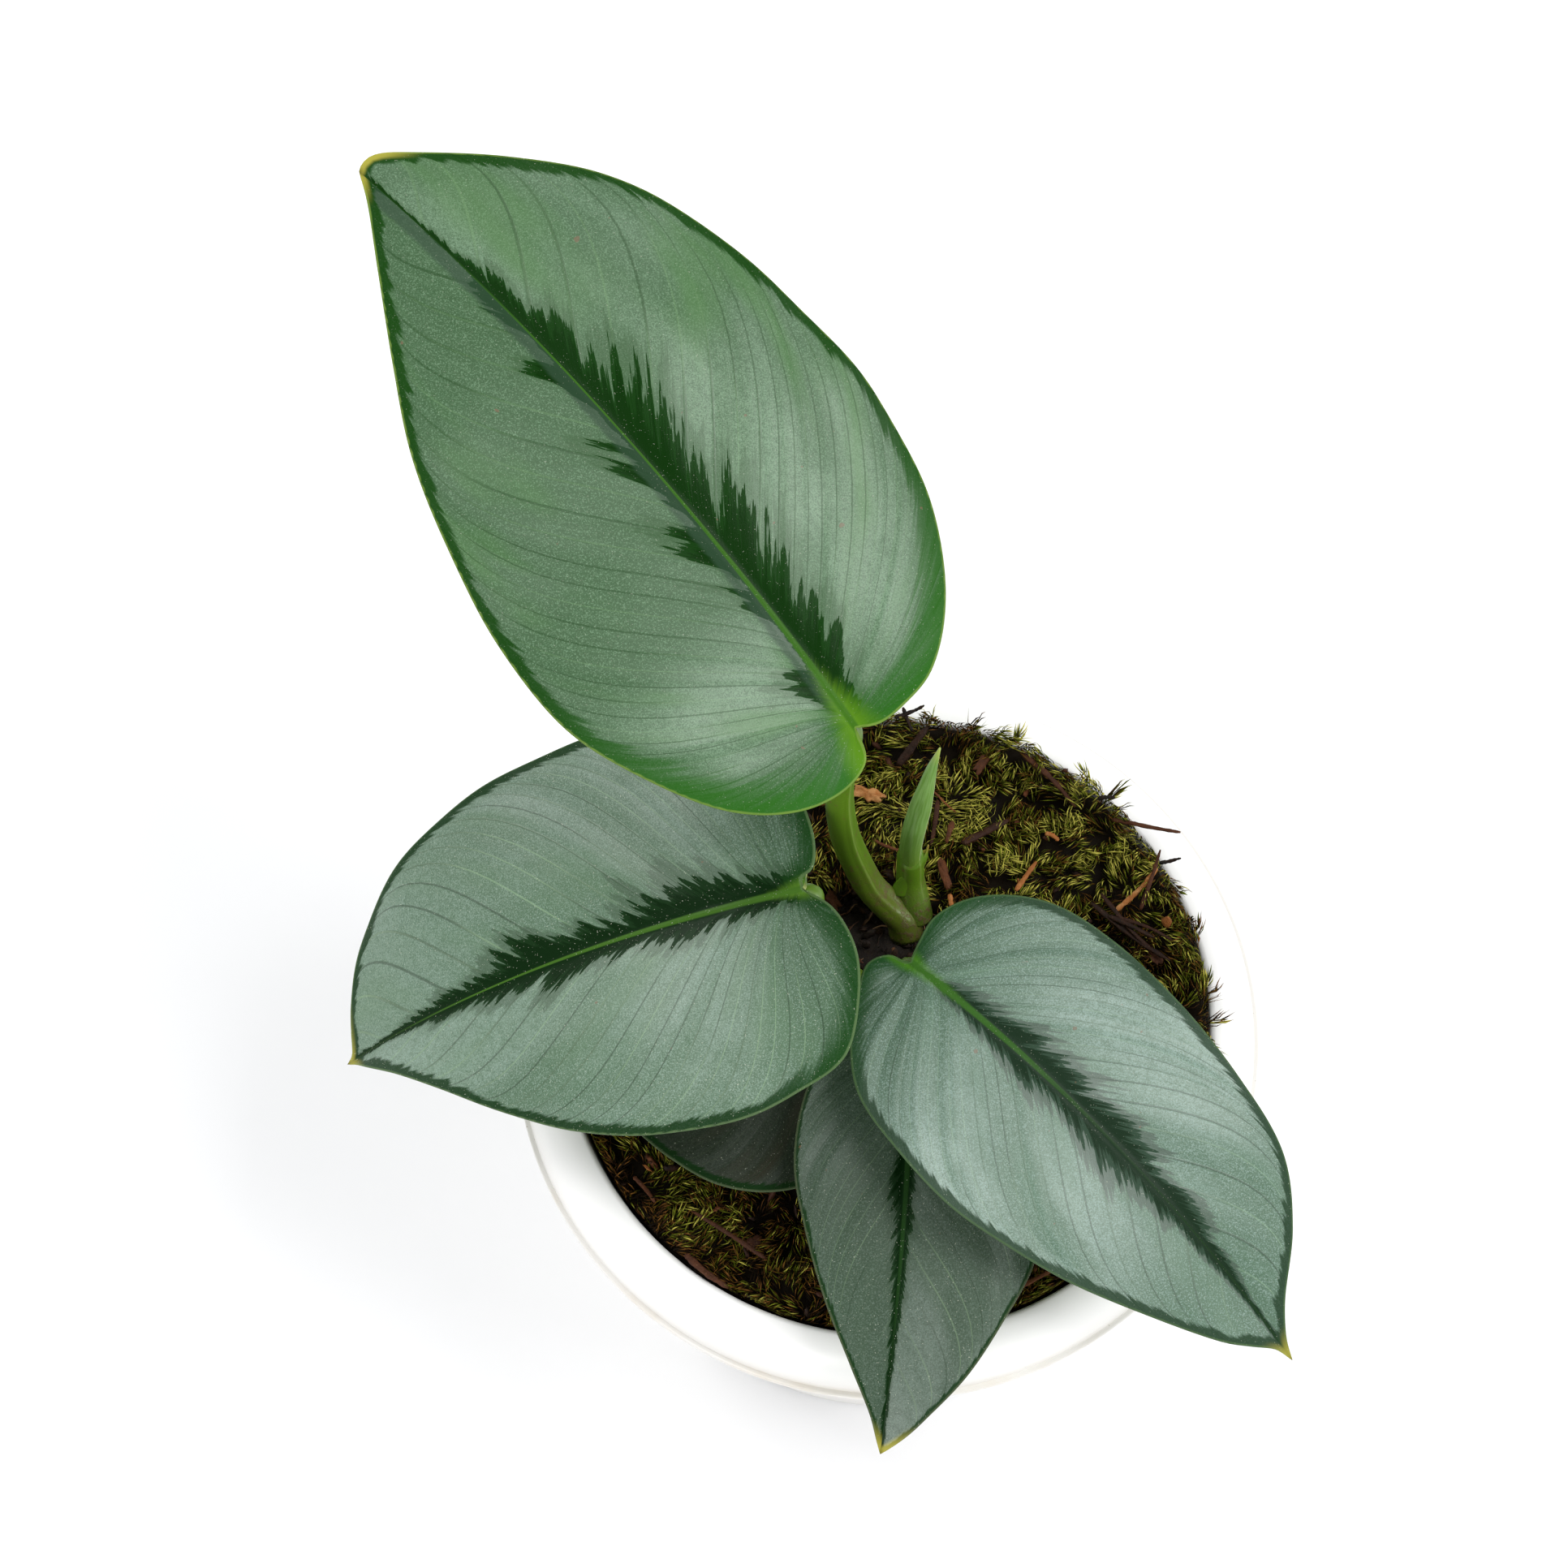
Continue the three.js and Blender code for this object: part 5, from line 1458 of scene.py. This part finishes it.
feet = shoot_feet()
x, y = feet[:, 0], feet[:, 1]
radius = np.hypot(x, y)
drift = 2 * np.pi * (ground_noise(x, y, 13, 1.0) + 0.1) * 1.6
drift += moss_rng.normal(0, 0.6, len(feet))
flat = np.stack([np.cos(drift), np.sin(drift), 0 * x], -1)
outward = np.stack([x / radius, y / radius, 0 * x], -1)
at_edge = np.clip((radius - 46) / 6, 0, 1)[:, None]
flat = unit(flat + (1.6 * behind(x, y)[:, None] - 0.6) * at_edge * outward)
steepness = np.radians(moss_rng.uniform(20, 60, len(feet)))[:, None]
curl = drift + moss_rng.choice([-1, 1], len(feet)) * moss_rng.uniform(0.6, 1.5, len(feet))
sweeps = unit(np.stack([np.cos(curl), np.sin(curl), moss_rng.uniform(-0.4, 0.3, len(feet))], -1)
              + 0.4 * flat)
lengths = moss_rng.uniform(2.6, 4.4, len(feet))
tones = vigour(x, y) + moss_rng.normal(0, 0.13, len(feet))
strand = np.array(DEAD_STRAND[1]) - DEAD_STRAND[0]
along_strand = np.clip(((x - DEAD_STRAND[0][0]) * strand[0] + (y - DEAD_STRAND[0][1]) * strand[1])
                       / (strand @ strand), 0, 1)
from_strand = np.hypot(x - DEAD_STRAND[0][0] - along_strand * strand[0],
                       y - DEAD_STRAND[0][1] - along_strand * strand[1])
dead = from_strand < DEAD_WIDTH
tones[dead] = moss_rng.uniform(0.1, 0.3, dead.sum())
flat[dead] = unit(np.append(strand, 0) + moss_rng.normal(0, 3, (dead.sum(), 3)) * (1, 1, 0))
steepness[dead] *= 0.5
lengths[dead] *= 1.5
tones = np.clip(tones, 0.06, 0.95)
axes = flat * np.cos(steepness) + np.array([0, 0, 1]) * np.sin(steepness)
foot_height = moss_height(x, y) - 1.7 + moss_rng.uniform(-0.4, 0.7, len(feet))
foot_height += 2.2 * ground_noise(x, y, 5, 4.0)
feet = np.column_stack([feet - 0.4 * lengths[:, None] * flat[:, :2], foot_height])

moss_finish, tree, shader = start_finish("moss_leaves", (0.07, 0.09, 0.02), 0.6, 0.05)
place = solid_place(tree)
tone = attribute(tree, "tone")
reach = attribute(tree, "reach")
fine = noise(place, 1300, 2, 0.6)
tone = plus(tone, scaled(fine, 0.3, -0.15))
# painted light: each leaflet lightens towards its tip, out of the mat
tone = plus(tone, scaled(reach, 0.3, -0.12))
colour = ramp(tone, [
    (0.0, (0.008, 0.005, 0.002)), (0.16, (0.05, 0.02, 0.006)), (0.28, (0.2, 0.088, 0.02)),
    (0.42, (0.11, 0.058, 0.006)), (0.58, (0.052, 0.068, 0.003)), (0.76, (0.145, 0.175, 0.009)),
    (1.0, (0.55, 0.5, 0.09)),
])
# painted shade: the foot of each leaflet, deep in the mat, is mixed towards near-black
dim = scaled(smooth_step(reach, 0.08, 0.75), 0.92, 0.08)
colour = mixed(dim, (0.01, 0.007, 0.004), colour)
coat(shader, colour, fine, 0.05 * MM, 0.5)

turn_of_foot = np.degrees(np.arctan2(y, x)) % 360
for number, (seam, following) in enumerate(zip(MOSS_SEAMS, MOSS_SEAMS[1:]), 1):
    mine = (turn_of_foot - seam) % 360 < following - seam
    leaf_points, leaf_faces, leaf_tones, leaf_reach = feathered(
        feet[mine], axes[mine], lengths[mine], sweeps[mine], tones[mine]
    )
    reach_out = np.hypot(leaf_points[:, 0], leaf_points[:, 1])
    held = np.where(leaf_points[:, 2] < MOUTH_TOP, np.minimum(reach_out, MOUTH_INSIDE), reach_out)
    leaf_points[:, :2] *= (held / reach_out)[:, None]
    base_points, base_faces = cushion_base(seam, following)
    points, faces = together([(leaf_points, leaf_faces), (base_points, base_faces)])
    cushion = link_mesh("moss_mat_%d" % number, points * MM, faces)
    # painted shade: the cushion bases are a dark dead mat, pushed to near-black by their low reach,
    # standing in for the shade in the gaps between shoots
    note(cushion, "tone", np.concatenate([leaf_tones, np.full(len(base_points), 0.04)]))
    note(cushion, "reach", np.concatenate([leaf_reach, np.full(len(base_points), 0.1)]))
    cushion.data.materials.append(moss_finish)
    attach(cushion, "root")
    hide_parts("moss_cushion_%d" % number)

# Litter: dry conifer needles, twigs and flakes of bark, brown to orange, that have dropped on
# the moss and lie loose on it. A few reach out over the mouth of the pot.
LITTER = [
    ("needle_1", (22.7, 45.2), (31.5, 36), 0.5, 0, 0.35),
    ("needle_2", (37.5, 33.6), (48.5, 30), 0.45, 2.0, 0.4),
    ("needle_3", (37.8, 18.1), (44.7, 24.5), 0.5, 0, 0.85),
    ("needle_4", (8.6, 37.5), (7.4, 29.6), 0.45, 0, 0.3),
    ("needle_5", (-20, -41), (-32, -33), 0.45, 0, 0.3),
    ("twig_1", (12.5, 30), (20.5, 34.5), 0.7, 0, 0.2),
    ("twig_2", (2, 44), (7, 50), 0.7, 0, 0.12),
    ("twig_3", (-38, 26), (-30, 34), 0.8, 0, 0.25),
]
LOOSE = [
    ((35.0, 36.1), (37.8, 36.0), 0.4, 3.5, 0.02),
    ((41.8, 17.8), (45.2, 27.4), 0.35, 2.2, 0.35),
    ((21.2, 20.9), (24.8, 26.2), 0.45, 2.2, 0.75),
    ((44.9, 25.0), (48.5, 25.6), 0.35, 2.5, 0.02),
    ((45.6, 15.0), (46.5, 15.6), 0.9, 2.0, 0.7),
    ((7.8, 38.6), (11.6, 34.9), 0.18, 3.0, 0.6),
    ((1.4, 51.0), (6.4, 52.9), 0.4, 3.0, 0.05),
    ((2.8, 52.6), (4.4, 49.0), 0.35, 3.2, 0.05),
    ((11.0, 33.4), (9.9, 29.6), 0.5, 2.6, 0.45),
    ((26.4, 31.3), (28.6, 30.0), 0.45, 2.4, 0.8),
    ((33.8, 19.4), (46.4, 8.9), 0.5, 2.3, 0.1),
    ((35.5, 21.0), (45.0, 9.6), 0.4, 2.6, 0.15),
    ((36.5, 17.0), (44.0, 12.9), 0.45, 2.7, 0.1),
    ((38.0, 16.8), (47.0, 12.0), 0.35, 2.4, 0.2),
    ((-2.4, 30.6), (3.0, 28.2), 0.3, 1.5, 0.5),
    ((-9.4, 14.0), (-4.0, 9.5), 0.4, -1.0, 0.35),
    ((13.0, 12.0), (12.0, 17.0), 0.3, 0.6, 0.5),
    ((10.4, 20.9), (11.0, 17.6), 0.45, 1.5, 0.8),
    ((-33.0, -40.0), (-26.0, -45.4), 0.6, 1.2, 0.35),
    ((-41.5, -27.0), (-38.0, -31.5), 0.4, 1.2, 0.4),
    ((-12.0, -46.5), (-5.0, -48.0), 0.4, 1.0, 0.3),
    ((20.0, -46.0), (27.0, -42.0), 0.4, 1.6, 0.5),
    ((-28.0, 40.0), (-20.0, 44.0), 0.4, 2.0, 0.5),
    ((-46.0, 8.0), (-44.0, 16.0), 0.4, 2.0, 0.35),
]
RESTING = 1.3
CHIPS = [
    ("bark_chip_1", (-3, 39), -20, (5, 2.2, 1.1), 0.85),
    ("bark_chip_2", (9.6, 24.8), -75, (6, 1.5, 1.0), 0.5),
    ("bark_chip_3", (34, 8), 40, (6, 3, 1.3), 0.3),
]
LOOSE_CHIPS = [
    ((-9, 21), -60, (3.6, 1.7, 0.9), 0.45, -2.6),
    ((-11, 9), 30, (3, 2, 0.8), 0.3, -3),
    ((13.5, 4), 80, (3.4, 1.6, 0.8), 0.5, -2.6),
    ((40, -4), 15, (3.6, 2, 0.8), 0.3, 1),
    ((44, 10), -35, (3, 1.6, 0.7), 0.35, 1.4),
    ((-22, -38), 30, (3.2, 2, 0.8), 0.3, 0.8),
    ((16, 44), 60, (3.5, 1.6, 0.7), 0.4, 1.4),
]
SCATTERED_CRUMBS = 170
STICK_SIDES = 8
STICK_STEPS = 18
FLAKE_SIDES = 22
litter_rng = np.random.default_rng(5)


def dry_stick(start, end, thickness, lift, raised_end=0.0):
    share = np.linspace(0, 1, STICK_STEPS + 1)
    x = start[0] + (end[0] - start[0]) * share
    y = start[1] + (end[1] - start[1]) * share
    length = math.hypot(end[0] - start[0], end[1] - start[1])
    bow = 0.05 * length * litter_rng.uniform(-1, 1) * np.sin(np.pi * share)
    x -= bow * (end[1] - start[1]) / length
    y += bow * (end[0] - start[0]) / length
    ground = moss_height(x, y)
    level = np.linspace(ground[0], ground[-1], STICK_STEPS + 1)
    z = np.maximum(level, 0.7 * ground + 0.3 * level) + lift + thickness + raised_end * share
    path = np.column_stack([x, y, z + 0.25 * np.sin(5 * share + litter_rng.uniform(0, 6))])
    along = unit(np.gradient(path, axis=0))
    across = unit(np.cross(along, (0, 0, 1)))
    turns = 2 * np.pi * np.arange(STICK_SIDES) / STICK_SIDES
    girth = thickness * np.interp(share, [0, 0.04, 0.2, 0.9, 1], [0.5, 0.85, 1, 0.75, 0.35])
    girth = girth * (1 + 0.12 * litter_rng.standard_normal(STICK_STEPS + 1))
    groove = 1 - 0.35 * np.exp(-((turns - np.pi / 2) / 0.5) ** 2)
    flattened = 0.7 * np.cross(across, along)
    points, faces = rings_around(path, across, flattened, girth[:, None] * groove[None])
    return points, inside_out(faces)


def bark_flake(middle, turn, size, lift):
    turns = 2 * np.pi * np.arange(FLAKE_SIDES) / FLAKE_SIDES
    ragged = 1 + 0.14 * litter_rng.standard_normal(FLAKE_SIDES)
    square = 1 / np.maximum(np.abs(np.cos(turns)), np.abs(np.sin(turns))) ** 0.75
    layers = [(-0.5, 0.0), (-0.5, 0.8), (-0.25, 0.97), (0.1, 1.0), (0.3, 0.9), (0.45, 0.55),
              (0.5, 0.0)]
    points = []
    for height, broad in layers:
        spread = 0.5 * ragged * square * broad
        wave = 0.16 * litter_rng.standard_normal(FLAKE_SIDES) * (height > 0)
        flat = np.column_stack([size[0] * spread * np.cos(turns), size[1] * spread * np.sin(turns),
                                size[2] * (height + wave)])
        points.append(flat[:1] * (0, 0, 1) if broad == 0 else flat)
    points = np.vstack(points)
    angle = math.radians(turn)
    spin = np.array([[math.cos(angle), -math.sin(angle), 0], [math.sin(angle), math.cos(angle), 0],
                     [0, 0, 1]])
    points = points @ spin.T
    ground = moss_height(np.array(middle[0]), np.array(middle[1]))
    points += (middle[0], middle[1], ground + lift + size[2] / 2)
    return points, tube_faces(len(layers) - 2, FLAKE_SIDES)


litter_finish, tree, shader = start_finish("dry_litter", (0.12, 0.05, 0.02), 0.6, 0.15)
place = solid_place(tree)
streaks = noise(place, 700, 4, 0.7)
fine = noise(place, 3000, 2, 0.6)
tone = plus(attribute(tree, "tone"), scaled(streaks, 0.5, -0.25))
colour = ramp(tone, [
    (0.0, (0.006, 0.005, 0.004)), (0.3, (0.05, 0.018, 0.009)), (0.55, (0.12, 0.04, 0.014)),
    (0.8, (0.34, 0.12, 0.03)), (1.0, (0.55, 0.3, 0.12)),
])
colour = mixed(smooth_step(fine, 0.6, 0.8), colour, (0.28, 0.16, 0.08), 0.3)
coat(shader, colour, plus(streaks, fine), 0.15 * MM, 0.8)


def drop(name, points, faces, tones, node=None):
    piece = link_mesh(name, points * MM, faces)
    note(piece, "tone", tones)
    piece.data.materials.append(litter_finish)
    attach(piece, "root")
    if node:
        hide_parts(node)


for name, start, end, thickness, raised_end, tone in LITTER:
    points, faces = dry_stick(start, end, thickness, RESTING, raised_end)
    drop("dry_" + name, points, faces, np.full(len(points), tone), name)
for name, middle, turn, size, tone in CHIPS:
    points, faces = bark_flake(middle, turn, size, RESTING)
    drop("ragged_" + name, points, faces, np.full(len(points), tone), name)
loose_parts = [dry_stick(a, b, thick, lift) for a, b, thick, lift, _ in LOOSE]
loose_parts += [bark_flake(middle, turn, size, lift) for middle, turn, size, _, lift in LOOSE_CHIPS]
loose_tones = [item[4] for item in LOOSE] + [item[3] for item in LOOSE_CHIPS]
for _ in range(SCATTERED_CRUMBS):
    turn = litter_rng.uniform(0, 2 * np.pi)
    reach = litter_rng.uniform(24, 52)
    x, y = reach * math.cos(turn), reach * math.sin(turn)
    size = litter_rng.uniform(0.3, 0.75) * np.array([litter_rng.uniform(1, 2.6), 0.8, 0.6])
    crumb = broken_crumb(litter_rng, size, 0.22)
    height = float(moss_height(x, y)) + litter_rng.uniform(0.2, 1.2)
    loose_parts.append((crumb + (x, y, height), ball_faces))
    loose_tones.append(litter_rng.choice([0.1, 0.3, 0.5, 0.75], p=[0.4, 0.3, 0.2, 0.1]))
points, faces = together(loose_parts)
drop("loose_crumbs_and_needles", points, faces, np.concatenate([
    np.full(len(part[0]), tone) for part, tone in zip(loose_parts, loose_tones)
]))
